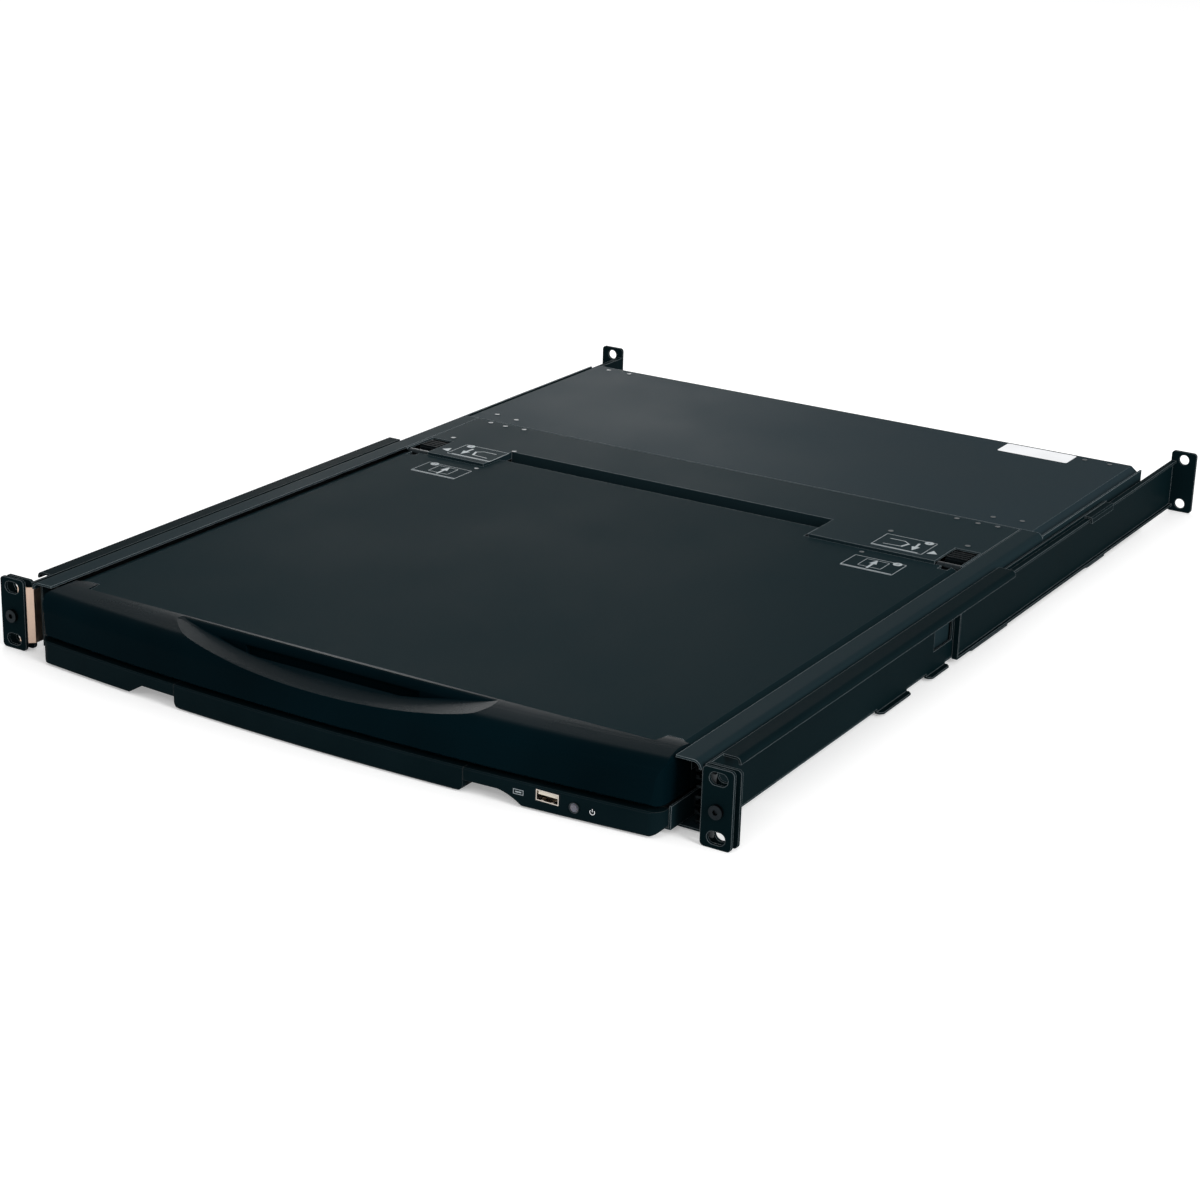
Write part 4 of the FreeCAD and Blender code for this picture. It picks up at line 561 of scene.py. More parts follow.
@dataclass(frozen=True)
class Ink:
    """Screen-printed ink or paper, flat and slightly uneven."""

    name: str
    colour: Colour
    thin: float = 0.93
    rough: Span = (0.5, 0.65)
    cloud: Waves = (60.0, 2.0, 0.5)
    fibre: Waves = (3200.0, 2.0, 0.6)
    fibre_rough: float = 0.05
    fibre_depth: float = 0.00001

    def material(self) -> bpy.types.Material:
        """Build the material."""
        shader = Shader(self.name)
        fibre = shader.noise(self.fibre)
        broad = shader.noise(self.cloud)
        shader.set(
            Base_Color=shader.mottle(broad, self.colour, scaled(self.colour, self.thin)),
            Roughness=shader.spread(broad, *self.rough) + fibre * self.fibre_rough,
            Normal=shader.bump(fibre, self.fibre_depth),
        )
        return shader.material


SLOTS = {
    "INK": "panel_grey",
    "DARK_INK": "black_plastic",
    "PAPER": "panel_grey",
    "IVORY": "panel_grey",
    "INSULATOR": "black_plastic",
    "SHELL": "plated_steel",
    "GOLD": "plated_steel",
    "SCREW": "screw_steel",
    "RIVET": "screw_steel",
    "LENS": "lamp_lens",
    "KEY": "key_plastic",
}


class Finish(Enum):
    """The finishes that the pieces are given."""

    # PANEL, CARRIAGE and COVER are lit and shaded copies of one black powder coat: their stepped brightness is
    # painted light, lighter on the rear cover and darker on the display plate at the front
    PANEL = Paint(
        "painted_panel", colour=(0.0032, 0.0108, 0.0135), worn=(0.0052, 0.0136, 0.0168), sheen_level=0.0035
    )
    CARRIAGE = Paint(
        "painted_carriage", colour=(0.0065, 0.0150, 0.0185), worn=(0.0090, 0.0185, 0.0225), sheen_level=0.006
    )
    COVER = Paint(
        "painted_cover", colour=(0.0100, 0.0200, 0.0250), worn=(0.0140, 0.0250, 0.0310), sheen_level=0.008
    )
    RAIL = Paint(
        "painted_rail",
        colour=(0.0012, 0.0056, 0.0072),
        worn=(0.0028, 0.0082, 0.0100),
        sheen_level=0.004,
        edge_share=0.55,
    )
    CAP = Gloss("polished_moulding")
    FASCIA = Moulded("matt_moulding", (0.0012, 0.0055, 0.0072), sheen_level=0.012, rough=(0.40, 0.52))
    DECK = Moulded("deck_plastic", (0.012, 0.014, 0.016), sheen_level=0.10)
    KEY = Moulded(
        "key_plastic", (0.010, 0.011, 0.013), sheen_level=0.12, rough=(0.36, 0.46), pit_depth=0.00003
    )
    PAD = Moulded(
        "touch_surface", (0.055, 0.058, 0.062), sheen_level=0.10, rough=(0.5, 0.6), pit_depth=0.00001
    )
    IVORY = Moulded("ivory_plastic", (0.60, 0.55, 0.47), sheen_level=0.35, rough=(0.30, 0.42), pit_depth=0.00002)
    INSULATOR = Moulded(
        "insulator_plastic", (0.003, 0.005, 0.006), sheen_level=0.012, rough=(0.45, 0.55), edge_share=0.10
    )
    BARE = Metal("bare_steel", (0.62, 0.46, 0.36), (0.50, 0.37, 0.29), rough=(0.30, 0.48))
    ZINC = Metal("zinc_plate", (0.52, 0.53, 0.55), (0.40, 0.41, 0.43), rough=(0.22, 0.38))
    SLIDE = Metal("black_slide", (0.020, 0.025, 0.028), (0.010, 0.014, 0.016), rough=(0.34, 0.50))
    # painted shade: a darker copy of the bare bracket steel, for the right bracket that stands in shade
    SHADED_STEEL = Metal("shaded_bracket_steel", (0.060, 0.066, 0.070), (0.035, 0.040, 0.043), rough=(0.40, 0.55))
    SHELL = Metal("plated_shell", (0.66, 0.60, 0.54), (0.52, 0.48, 0.43), rough=(0.14, 0.26))
    SCREW = Metal("black_screw", (0.017, 0.021, 0.024), (0.009, 0.012, 0.014), rough=(0.30, 0.42))
    RIVET = Metal("dull_rivet", (0.042, 0.052, 0.057), (0.024, 0.032, 0.036), rough=(0.34, 0.46))
    GOLD = Metal("gold_contact", (0.85, 0.58, 0.24), (0.70, 0.46, 0.18), rough=(0.12, 0.24))
    BOARD = Board("circuit_board")
    GLASS = Glass("display_glass")
    LENS = Lens("lamp_lens")
    INK = Ink("printed_ink", (0.30, 0.34, 0.36))
    DARK_INK = Ink("dark_ink", (0.010, 0.014, 0.016))
    PAPER = Ink("blank_label", (0.86, 0.87, 0.89))

    def slot(self) -> str:
        """Material slot of the record that a piece with this finish belongs to."""
        return SLOTS[self.name]


class Facing(Enum):
    """The way that a flat or round piece faces, as a turn from upright."""

    UP = (0.0, 0.0, 0.0)
    DOWN = (math.pi, 0.0, 0.0)
    FRONT = (math.pi / 2, 0.0, 0.0)
    REAR = (-math.pi / 2, 0.0, 0.0)

    def matrix(self) -> Matrix:
        """Turn from upright to this facing."""
        return Euler(self.value).to_matrix().to_4x4()


class Palette:
    """Makes each finish's material once and puts it on pieces."""

    def __init__(self) -> None:
        """Start with no material made."""
        self._made: dict[Finish, bpy.types.Material] = {}

    def get(self, finish: Finish) -> bpy.types.Material:
        """Material of a finish."""
        if finish not in self._made:
            self._made[finish] = finish.value.material()
        return self._made[finish]

    def dress(self, piece: bpy.types.Object, finish: Finish) -> None:
        """Give a whole piece one finish."""
        if not piece.material_slots:
            piece.data.materials.append(self.get(finish))
        for place in piece.material_slots:
            place.material = self.get(finish)

    def dress_nodes(self, finish: Finish, *names: str) -> None:
        """Give CAD nodes one finish."""
        for name in names:
            self.dress(frame["nodes"][name], finish)


def sided(*stems: str) -> list[str]:
    """Names of the left and right node of each stem."""
    return [stem + side for stem in stems for side in ("_left", "_right")]


def span(node: str) -> tuple[Vector, Vector]:
    """Lowest and highest corner of a CAD node, in millimetres."""
    low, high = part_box(node)
    return Vector(low) / MM, Vector(high) / MM


def carrier(node: str) -> str:
    """Body that carries a CAD node."""
    return frame["nodes"][node]["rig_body"]


# --- modelling --------------------------------------------------------------------------------
class Bench:
    """Adds primitives, shapes chosen faces of them and hands over finished pieces; works in millimetres."""

    def __init__(self, palette: Palette) -> None:
        """Keep the palette that dresses the pieces."""
        self.palette = palette

    def clear(self) -> None:
        """Leave edit mode and deselect everything."""
        active = bpy.context.view_layer.objects.active
        if active is not None and active.mode != "OBJECT":
            bpy.ops.object.mode_set(mode="OBJECT")
        bpy.ops.object.select_all(action="DESELECT")

    def take(self, *pieces: bpy.types.Object) -> None:
        """Select pieces only, with the first one active."""
        self.clear()
        for piece in pieces:
            piece.select_set(True)
        bpy.context.view_layer.objects.active = pieces[0]

    def _settle(self, name: str, size: Sequence[float]) -> bpy.types.Object:
        """Name the object just added, size it and bake its place into the mesh.

        Args:
            name: name of the piece.
            size: factor for each of its own axes.

        Returns:
            The piece.
        """
        piece = bpy.context.object
        piece.name = name
        piece.data.name = name
        piece.scale = size
        self.take(piece)
        bpy.ops.object.transform_apply(location=True, rotation=True, scale=True)
        return piece

    def block(self, name: str, low: Sequence[float], high: Sequence[float]) -> bpy.types.Object:
        """Box between two corners.

        Args:
            name: name of the piece.
            low: lowest corner.
            high: highest corner.

        Returns:
            The piece.
        """
        self.clear()
        centre = [(a + b) / 2 * MM for a, b in zip(low, high)]
        bpy.ops.mesh.primitive_cube_add(size=MM, location=centre)
        return self._settle(name, [b - a for a, b in zip(low, high)])

    def drum(
        self,
        name: str,
        centre: Sequence[float],
        radius: float,
        depth: float,
        sides: int,
        facing: Facing = Facing.UP,
    ) -> bpy.types.Object:
        """Cylinder or prism.

        Args:
            name: name of the piece.
            centre: its middle.
            radius: its radius.
            depth: its length.
            sides: how many sides it has.
            facing: the way that its axis points.

        Returns:
            The piece.
        """
        self.clear()
        where = [value * MM for value in centre]
        size = {"radius": radius * MM, "depth": depth * MM, "vertices": sides}
        bpy.ops.mesh.primitive_cylinder_add(location=where, rotation=facing.value, end_fill_type="NGON", **size)
        return self._settle(name, (1.0, 1.0, 1.0))

    def flat(
        self,
        name: str,
        centre: Sequence[float],
        size: Sequence[float],
        sides: int = 4,
        facing: Facing = Facing.UP,
        turn: float = 0.0,
    ) -> bpy.types.Object:
        """Flat rectangle or polygon.

        Args:
            name: name of the piece.
            centre: its middle.
            size: width and height of the rectangle, or of the polygon's circle.
            sides: four for a rectangle, else the polygon's sides.
            facing: the way that it faces.
            turn: turn about Z of a piece that faces up, in radians.

        Returns:
            The piece.
        """
        self.clear()
        where = [value * MM for value in centre]
        rotation = (facing.value[0], facing.value[1], facing.value[2] + turn)
        if sides == 4:
            bpy.ops.mesh.primitive_plane_add(size=MM, location=where, rotation=rotation)
        else:
            bpy.ops.mesh.primitive_circle_add(
                vertices=sides, radius=MM / 2, fill_type="NGON", location=where, rotation=rotation
            )
        return self._settle(name, (size[0], size[1], 1.0))

    def numeral(self, name: str, digit: str, centre: Sequence[float], height: float, rise: float) -> bpy.types.Object:
        """Digit that faces up.

        Args:
            name: name of the piece.
            digit: the number to draw.
            centre: middle of the digit.
            height: its size.
            rise: how far it stands up from centre.

        Returns:
            The piece.
        """
        self.clear()
        where = [centre[0] * MM, centre[1] * MM, (centre[2] + rise / 2) * MM]
        bpy.ops.object.text_add(location=where)
        text = bpy.context.object
        text.data.body = digit
        text.data.size = height * MM
        text.data.align_x = "CENTER"
        text.data.align_y = "CENTER"
        text.data.resolution_u = 3
        text.data.extrude = rise / 2 * MM
        bpy.ops.object.convert(target="MESH")
        return self._settle(name, (1.0, 1.0, 1.0))

    def close(self) -> None:
        """Leave edit mode."""
        bpy.ops.object.mode_set(mode="OBJECT")

    def _open(self, piece: bpy.types.Object, kind: str, action: str) -> None:
        """Open edit mode with everything or nothing selected.

        Args:
            piece: the piece.
            kind: what is selected, FACE or VERT.
            action: SELECT or DESELECT.
        """
        self.take(piece)
        bpy.ops.object.mode_set(mode="EDIT")
        bpy.ops.mesh.select_mode(type=kind)
        bpy.ops.mesh.select_all(action=action)

    def everything(self, piece: bpy.types.Object) -> None:
        """Open edit mode with all faces selected."""
        self._open(piece, "FACE", "SELECT")

    def faces(self, piece: bpy.types.Object, test: Callable[[Vector, Vector], bool]) -> None:
        """Open edit mode with chosen faces selected.

        Args:
            piece: the piece.
            test: takes a face's centre in millimetres and its normal, and says whether it is chosen.
        """
        self._open(piece, "FACE", "DESELECT")
        self.close()
        for face in piece.data.polygons:
            face.select = bool(test(face.center / MM, face.normal))
        bpy.ops.object.mode_set(mode="EDIT")

    def top(self, piece: bpy.types.Object, least: float = FACING_SHARE) -> None:
        """Open edit mode with the faces that point up selected.

        Args:
            piece: the piece.
            least: least share of a normal that has to point up.
        """
        self.faces(piece, lambda centre, normal: normal.z > least)

    def points(self, piece: bpy.types.Object, test: Callable[[Vector], bool]) -> None:
        """Open edit mode with chosen points selected.

        Args:
            piece: the piece.
            test: takes a point's place in millimetres and says whether it is chosen.
        """
        self._open(piece, "VERT", "DESELECT")
        self.close()
        for point in piece.data.vertices:
            point.select = bool(test(point.co / MM))
        bpy.ops.object.mode_set(mode="EDIT")

    def shift(self, *move: float) -> None:
        """Move what is selected by a vector."""
        bpy.ops.transform.translate(value=tuple(value * MM for value in move))

    def taper(self, factor: float) -> None:
        """Draw the selected faces in towards their middle, across and along."""
        bpy.ops.transform.resize(value=(factor, factor, 1.0))

    def extrude(self, *move: float) -> None:
        """Extrude the selected faces by a vector."""
        bpy.ops.mesh.extrude_region_move(TRANSFORM_OT_translate={"value": tuple(value * MM for value in move)})

    def inset(self, thickness: float) -> None:
        """Inset the selected faces."""
        bpy.ops.mesh.inset(thickness=thickness * MM)

    def outline(self, piece: bpy.types.Object, line: float) -> None:
        """Turn a flat piece into a closed line along its rim."""
        self.everything(piece)
        self.inset(line)
        bpy.ops.mesh.delete(type="FACE")
        self.close()

    def round_corners(self, piece: bpy.types.Object, radius: float, segments: int) -> None:
        """Round the corners of a flat piece."""
        self.everything(piece)
        bpy.ops.mesh.bevel(offset=radius * MM, segments=segments, affect="VERTICES")
        self.close()

    def raise_flat(self, piece: bpy.types.Object, *move: float) -> None:
        """Give a flat piece its thickness."""
        self.everything(piece)
        self.extrude(*move)
        self.close()

    def modifier(self, piece: bpy.types.Object, kind: str, **settings: Any) -> None:
        """Add a modifier, set it and apply it.

        Args:
            piece: the piece.
            kind: type of the modifier.
            settings: its properties.
        """
        self.take(piece)
        bpy.ops.object.modifier_add(type=kind)
        step = piece.modifiers[-1]
        for key, value in settings.items():
            setattr(step, key, value)
        bpy.ops.object.modifier_apply(modifier=step.name)

    def round_edges(self, piece: bpy.types.Object, width: float, segments: int, angle: float = 40.0) -> None:
        """Round the edges of a piece that are sharper than an angle in degrees."""
        limits = {"limit_method": "ANGLE", "angle_limit": math.radians(angle)}
        self.modifier(piece, "BEVEL", width=width * MM, segments=segments, **limits)

    def carve(self, piece: bpy.types.Object, *cutters: bpy.types.Object) -> None:
        """Take other shapes out of a piece and remove them."""
        for cutter in cutters:
            self.modifier(piece, "BOOLEAN", operation="DIFFERENCE", object=cutter, solver="EXACT")
            bpy.data.objects.remove(cutter)

    def wrap(self, piece: bpy.types.Object, node: str, thickness: float) -> None:
        """Lay a flat mark on a CAD node along Y and give it its thickness.

        Args:
            piece: flat mark in front of or behind the node's surface.
            node: the CAD node under it.
            thickness: thickness of the mark.
        """
        target = frame["nodes"][node]
        lift = 0.3 * thickness * MM
        way = {"use_project_y": True, "use_negative_direction": True, "use_positive_direction": True}
        self.modifier(piece, "SHRINKWRAP", target=target, wrap_method="PROJECT", offset=lift, **way)
        self.modifier(piece, "SOLIDIFY", thickness=thickness * MM, offset=0.0)

    def join(self, name: str, *pieces: bpy.types.Object) -> bpy.types.Object:
        """One piece made of several."""
        self.take(*pieces)
        bpy.ops.object.join()
        pieces[0].name = name
        pieces[0].data.name = name
        return pieces[0]

    def copy(self, master: bpy.types.Object, name: str, place: Sequence[float], facing: Facing) -> bpy.types.Object:
        """Copy a piece that stands at the origin, with a mesh of its own.

        Args:
            master: the piece to copy.
            name: name of the copy.
            place: where the copy stands.
            facing: the way that the copy faces.

        Returns:
            The copy.
        """
        piece = master.copy()
        piece.data = master.data.copy()
        piece.name = name
        piece.data.name = name
        moved = Matrix.Translation([value * MM for value in place])
        piece.data.transform(moved @ facing.matrix())
        bpy.context.scene.collection.objects.link(piece)
        return piece

    def deliver(self, piece: bpy.types.Object, finish: Finish, body: str) -> None:
        """Close the mesh, dress the piece and let it ride on its body.

        Args:
            piece: the finished shape.
            finish: its finish.
            body: the CAD body that carries it.
        """
        self.everything(piece)
        bpy.ops.mesh.remove_doubles(threshold=MERGE_DISTANCE)
        bpy.ops.mesh.normals_make_consistent(inside=False)
        self.close()
        bpy.ops.object.shade_smooth_by_angle(angle=math.radians(SMOOTH_ANGLE))
        self.palette.dress(piece, finish)
        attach(piece, body)
        LOG.info("%s rides on %s with %d faces", piece.name, body, len(piece.data.polygons))

    def spread(
        self,
        master: bpy.types.Object,
        places: Sequence[Sequence[float]],
        finish: Finish,
        body: str,
        facing: Facing = Facing.UP,
    ) -> None:
        """Copy a master to several places and remove it.

        Args:
            master: piece at the origin, facing up; its name is the stem of the copies' names.
            places: where the copies stand.
            finish: finish of the copies.
            body: the CAD body that carries them.
            facing: the way that the copies face.
        """
        stem = master.name
        for index, place in enumerate(places):
            piece = self.copy(master, f"{stem}_{index + 1}", place, facing)
            self.deliver(piece, finish, body)
        bpy.data.objects.remove(master)

    def screw_head(self, name: str, radius: float, height: float) -> bpy.types.Object:
        """Pan head with a cross recess, standing on the origin.

        Args:
            name: stem of the screws' names.
            radius: radius of the head.
            height: height of the head.

        Returns:
            The master head.
        """
        crown, draw, rounding = 0.25 * height, 0.72, 0.16 * height
        arm, half = 0.58 * radius, 0.11 * radius
        depth, above = 0.55 * height, 3.0 * height
        head = self.drum(name, (0.0, 0.0, height / 2), radius, height, 28)
        self.top(head)
        self.extrude(0.0, 0.0, crown)
        self.taper(draw)
        self.close()
        self.round_edges(head, rounding, 2, 25.0)
        across = self.block("recess_across", (-arm, -half, depth), (arm, half, above))
        along = self.block("recess_along", (-half, -arm, depth), (half, arm, above))
        self.carve(head, across, along)
        return head

    def rivet_head(self, name: str, radius: float, height: float) -> bpy.types.Object:
        """Low round rivet with a dished middle, standing on the origin.

        Args:
            name: stem of the rivets' names.
            radius: radius of the head.
            height: height of the head.

        Returns:
            The master rivet.
        """
        rim, dish, rounding = 0.42 * radius, 0.45 * height, 0.25 * height
        head = self.drum(name, (0.0, 0.0, height / 2), radius, height, 24)
        self.top(head)
        self.inset(rim)
        self.shift(0.0, 0.0, -dish)
        self.close()
        self.round_edges(head, rounding, 2, 30.0)
        return head


# --- printed labels ---------------------------------------------------------------------------
@dataclass
class LatchLabel:
    """Printed label beside a catch: frame, pictogram, arrow and a numbered disc."""

    bench: Bench
    name: str
    digit: str
    body: str
    top: float
    left: float
    right: float
    front: float
    rear: float
    side: int
    line: float = 0.36
    corner: float = 0.9
    bar: float = 0.85
    thin: float = 0.62
    bold: float = 1.5
    film: float = 0.035
    film_step: float = 0.002
    disc: float = 5.8
    digit_share: float = 0.78
    digit_film: float = 0.03
    parts: list[bpy.types.Object] = field(default_factory=list)

    def at(self, u: float, v: float) -> tuple[float, float]:
        """Point of the label from its shares across and up."""
        across = self.left + u * (self.right - self.left)
        return self.side * across, self.front + v * (self.rear - self.front)

    def rise(self) -> float:
        """Thickness of the next part, each a little more so that tops never coincide."""
        return self.film + self.film_step * len(self.parts)

    def keep(self, part: bpy.types.Object) -> None:
        """Give a flat part its thickness and keep it."""
        self.bench.raise_flat(part, 0.0, 0.0, self.rise())
        self.parts.append(part)

    def stroke(self, start: tuple[float, float], end: tuple[float, float], width: float) -> None:
        """Printed line between two points.

        Args:
            start: share across and up of its start.
            end: share across and up of its end.
            width: its width.
        """
        (x0, y0), (x1, y1) = self.at(*start), self.at(*end)
        overlap = 0.6 * width
        length = math.hypot(x1 - x0, y1 - y0) + overlap
        turn = math.atan2(y1 - y0, x1 - x0)
        centre = ((x0 + x1) / 2, (y0 + y1) / 2, self.top)
        self.keep(self.bench.flat("stroke", centre, (length, width), turn=turn))

    def chain(self, points: Sequence[tuple[float, float]], width: float) -> None:
        """Printed line through several points."""
        for start, end in zip(points, points[1:]):
            self.stroke(start, end, width)

    def head(self, base: tuple[float, float], tip: tuple[float, float], width: float) -> None:
        """Solid arrow head.

        Args:
            base: share across and up of the middle of its base.
            tip: share across and up of its tip.
            width: width of its base.
        """
        (x0, y0), (x1, y1) = self.at(*base), self.at(*tip)
        turn = math.atan2(y1 - y0, x1 - x0)
        centre = ((x0 + x1) / 2, (y0 + y1) / 2, self.top)
        part = self.bench.flat("head", centre, (math.hypot(x1 - x0, y1 - y0), width), turn=turn)
        near = 0.51 * width
        self.bench.points(part, lambda place: math.hypot(place.x - x1, place.y - y1) < near)
        bpy.ops.mesh.merge(type="CENTER")
        self.bench.close()
        self.keep(part)

    def rim(self, low: tuple[float, float], high: tuple[float, float]) -> None:
        """Rectangular printed line between two corners given as shares."""
        (x0, y0), (x1, y1) = self.at(*low), self.at(*high)
        size = (abs(x1 - x0), abs(y1 - y0))
        part = self.bench.flat("rim", ((x0 + x1) / 2, (y0 + y1) / 2, self.top), size)
        self.bench.round_corners(part, self.corner, 4)
        self.bench.outline(part, self.line)
        self.keep(part)

    def number(self, u: float, v: float) -> None:
        """Light disc with its dark number.

        Args:
            u: share across of its middle.
            v: share up of its middle.
        """
        x, y = self.at(u, v)
        self.keep(self.bench.flat("disc", (x, y, self.top), (self.disc, self.disc), sides=28))
        place = (x, y, self.top + self.rise() + self.film_step)
        height = self.digit_share * self.disc
        digit = self.bench.numeral(f"{self.name}_number", self.digit, place, height, self.digit_film)
        self.bench.deliver(digit, Finish.DARK_INK, self.body)

    def finish(self) -> None:
        """Join the printed parts into one piece."""
        piece = self.bench.join(self.name, *self.parts)
        self.bench.deliver(piece, Finish.INK, self.body)


@dataclass
class ReleaseLabel(LatchLabel):
    """First step: slide the catch and pull towards the front."""

    down_arrow: float = 5.4
    pull_arrow: float = 7.4

    def build(self) -> None:
        """Model the label."""
        knuckle, fingertip = (0.573, 0.56), (0.515, 0.29)
        self.rim((0.0, 0.0), (1.0, 1.0))
        self.stroke((0.02, 0.055), (0.90, 0.055), self.bar)
        self.chain([(0.167, 0.70), (0.453, 0.70), knuckle], self.thin)
        self.chain([(0.175, 0.245), fingertip], self.thin)
        self.stroke(knuckle, fingertip, self.bold)
        self.stroke((0.725, 0.72), (0.745, 0.42), self.bold)
        self.head((0.743, 0.46), (0.754, 0.17), self.down_arrow)
        self.number(0.86, 0.91)
        self.head((1.072, 0.30), (1.224, 0.247), self.pull_arrow)
        self.finish()


@dataclass
class RaiseLabel(LatchLabel):
    """Second step: swing the display up."""

    up_arrow: float = 5.0

    def build(self) -> None:
        """Model the label."""
        self.rim((0.0, 0.0), (1.0, 1.0))
        self.stroke((0.02, 0.07), (0.97, 0.07), self.bar)
        self.rim((0.26, 0.27), (0.71, 0.88))
        self.stroke((0.47, 0.20), (0.47, 0.62), self.bold)
        self.head((0.47, 0.57), (0.47, 0.90), self.up_arrow)
        self.number(0.84, 0.93)
        self.finish()


# --- sub-assemblies -------------------------------------------------------------------------
@dataclass
class Chassis:
    """Fixed sheet-metal body with its electronics box."""

    bench: Bench
    rivet_radius: float = 1.7
    rivet_height: float = 0.32
    cover_rivets: Sequence[Span] = ((181.6, 449.7), (200.1, 453.2), (182.0, 605.0), (200.0, 605.0))
    sticker: Sequence[float] = (123.5, 174.5, 590.0, 610.0)
    sticker_corner: float = 1.6
    sticker_film: float = 0.10
    screw_radius: float = 2.6
    screw_height: float = 1.0
    panel_screws: Sequence[Span] = ((207.0, 11.5), (207.0, -11.5), (104.0, 13.5), (30.0, 13.5))
    inlet_span: Span = (100.0, 190.0)
    port_recess: float = 6.0
    insulator_half: Span = (10.8, 3.6)
    insulator_span: Span = (0.5, 1.6)
    insulator_draft: float = 1.0
    insulator_round: float = 0.4
    pin_rows: int = 3
    pins_in_row: int = 5
    pin_radius: float = 0.42
    pin_length: float = 3.4
    pin_tip: float = 0.35
    pin_taper: float = 0.5
    pin_foot: float = 1.5
    pin_pitch: float = 3.8
    row_pitch: float = 2.1
    row_shift: float = 0.95
    stud_radius: float = 2.1
    stud_length: float = 4.8
    stud_round: float = 0.25
    stud_wall: float = 0.95
    stud_bore: float = 3.4
    stud_reach: float = 14.6
    mark_reach: float = 4.4
    mark_clearance: float = 2.0
    mark_film: float = 0.06
    stroke_size: Span = (0.5, 3.4)
    ring_size: float = 3.2
    ring_line: float = 0.5

    def build(self) -> None:
        """Model the pieces and dress the nodes."""
        self.dress()
        self.rivets()
        self.blank_sticker()
        self.rear_screws()
        self.port_insulator()
        self.port_pins()
        self.port_studs()
        self.switch_marks()

    def dress(self) -> None:
        """Finish the nodes of the body."""
        palette = self.bench.palette
        palette.dress_nodes(Finish.PANEL, "rear_panel", "rear_bulkhead")
        palette.dress_nodes(Finish.COVER, "rear_cover")
        palette.dress_nodes(Finish.CARRIAGE, "chassis_tray")
        palette.dress_nodes(Finish.BOARD, "main_board", "power_supply")
        palette.dress_nodes(Finish.DECK, "power_inlet", "power_switch_body", "power_rocker")
        palette.dress_nodes(Finish.SHELL, "console_port")

    def rivets(self) -> None:
        """Low rivets along both sides of the rear cover."""
        top = span("rear_cover")[1].z
        master = self.bench.rivet_head("cover_rivet", self.rivet_radius, self.rivet_height)
        places = [(side * x, y, top) for x, y in self.cover_rivets for side in (1, -1)]
        self.bench.spread(master, places, Finish.RIVET, carrier("rear_cover"))

    def blank_sticker(self) -> None:
        """White label with nothing on it, near the rear edge."""
        x0, x1, y0, y1 = self.sticker
        top = span("rear_cover")[1].z
        piece = self.bench.flat("blank_sticker", ((x0 + x1) / 2, (y0 + y1) / 2, top), (x1 - x0, y1 - y0))
        self.bench.round_corners(piece, self.sticker_corner, 6)
        self.bench.raise_flat(piece, 0.0, 0.0, self.sticker_film)
        self.bench.deliver(piece, Finish.PAPER, carrier("rear_cover"))

    def rear_screws(self) -> None:
        """Screws that hold the rear panel, none of them over the mains inlet and its switch."""
        wall = span("rear_cover")[1].y
        master = self.bench.screw_head("panel_screw", self.screw_radius, self.screw_height)
        places = [(side * x, wall, z) for x, z in self.panel_screws for side in (1, -1)]
        near, far = self.inlet_span
        places = [place for place in places if not near < place[0] < far]
        self.bench.spread(master, places, Finish.SCREW, carrier("rear_panel"), Facing.REAR)

    def port_floor(self) -> tuple[float, float, float]:
        """Middle of the floor inside the console connector."""
        low, high = span("console_port")
        return (low.x + high.x) / 2, high.y - self.port_recess, (low.z + high.z) / 2

    def port_insulator(self) -> None:
        """Insulator of the console connector, narrower below."""
        x, wall, z = self.port_floor()
        (wide, tall), (near, far) = self.insulator_half, self.insulator_span
        face = self.bench.block("port_insulator", (x - wide, wall + near, z - tall), (x + wide, wall + far, z + tall))
        for side in (-1, 1):
            self.bench.points(face, lambda place: place.z < z and side * (place.x - x) > 0.0)
            self.bench.shift(-side * self.insulator_draft, 0.0, 0.0)
        self.bench.close()
        self.bench.round_edges(face, self.insulator_round, 3)
        self.bench.deliver(face, Finish.INSULATOR, carrier("console_port"))

    def port_pins(self) -> None:
        """Pins of the console connector in three rows, the middle one shifted."""
        x, wall, z = self.port_floor()
        pin = self.bench.drum("port_pin", (0.0, 0.0, self.pin_length / 2), self.pin_radius, self.pin_length, 12)
        self.bench.top(pin)
        self.bench.extrude(0.0, 0.0, self.pin_tip)
        self.bench.taper(self.pin_taper)
        self.bench.close()
        places = []
        for row in range(self.pin_rows):
            shift = self.row_shift if row == 1 else 0.0
            for index in range(self.pins_in_row):
                across = (index - (self.pins_in_row - 1) / 2) * self.pin_pitch + shift
                places.append((x + across, wall + self.pin_foot, z + (1 - row) * self.row_pitch))
        self.bench.spread(pin, places, Finish.GOLD, carrier("console_port"), Facing.REAR)

    def port_studs(self) -> None:
        """Hexagonal studs on both sides of the console connector."""
        x, wall, z = self.port_floor()
        stud = self.bench.drum("port_stud", (0.0, 0.0, self.stud_length / 2), self.stud_radius, self.stud_length, 6)
        self.bench.round_edges(stud, self.stud_round, 2)
        self.bench.top(stud, STRAIGHT_SHARE)
        self.bench.inset(self.stud_wall)
        self.bench.extrude(0.0, 0.0, -self.stud_bore)
        self.bench.close()
        places = [(x + side * self.stud_reach, wall, z) for side in (1, -1)]
        self.bench.spread(stud, places, Finish.SHELL, carrier("console_port"), Facing.REAR)

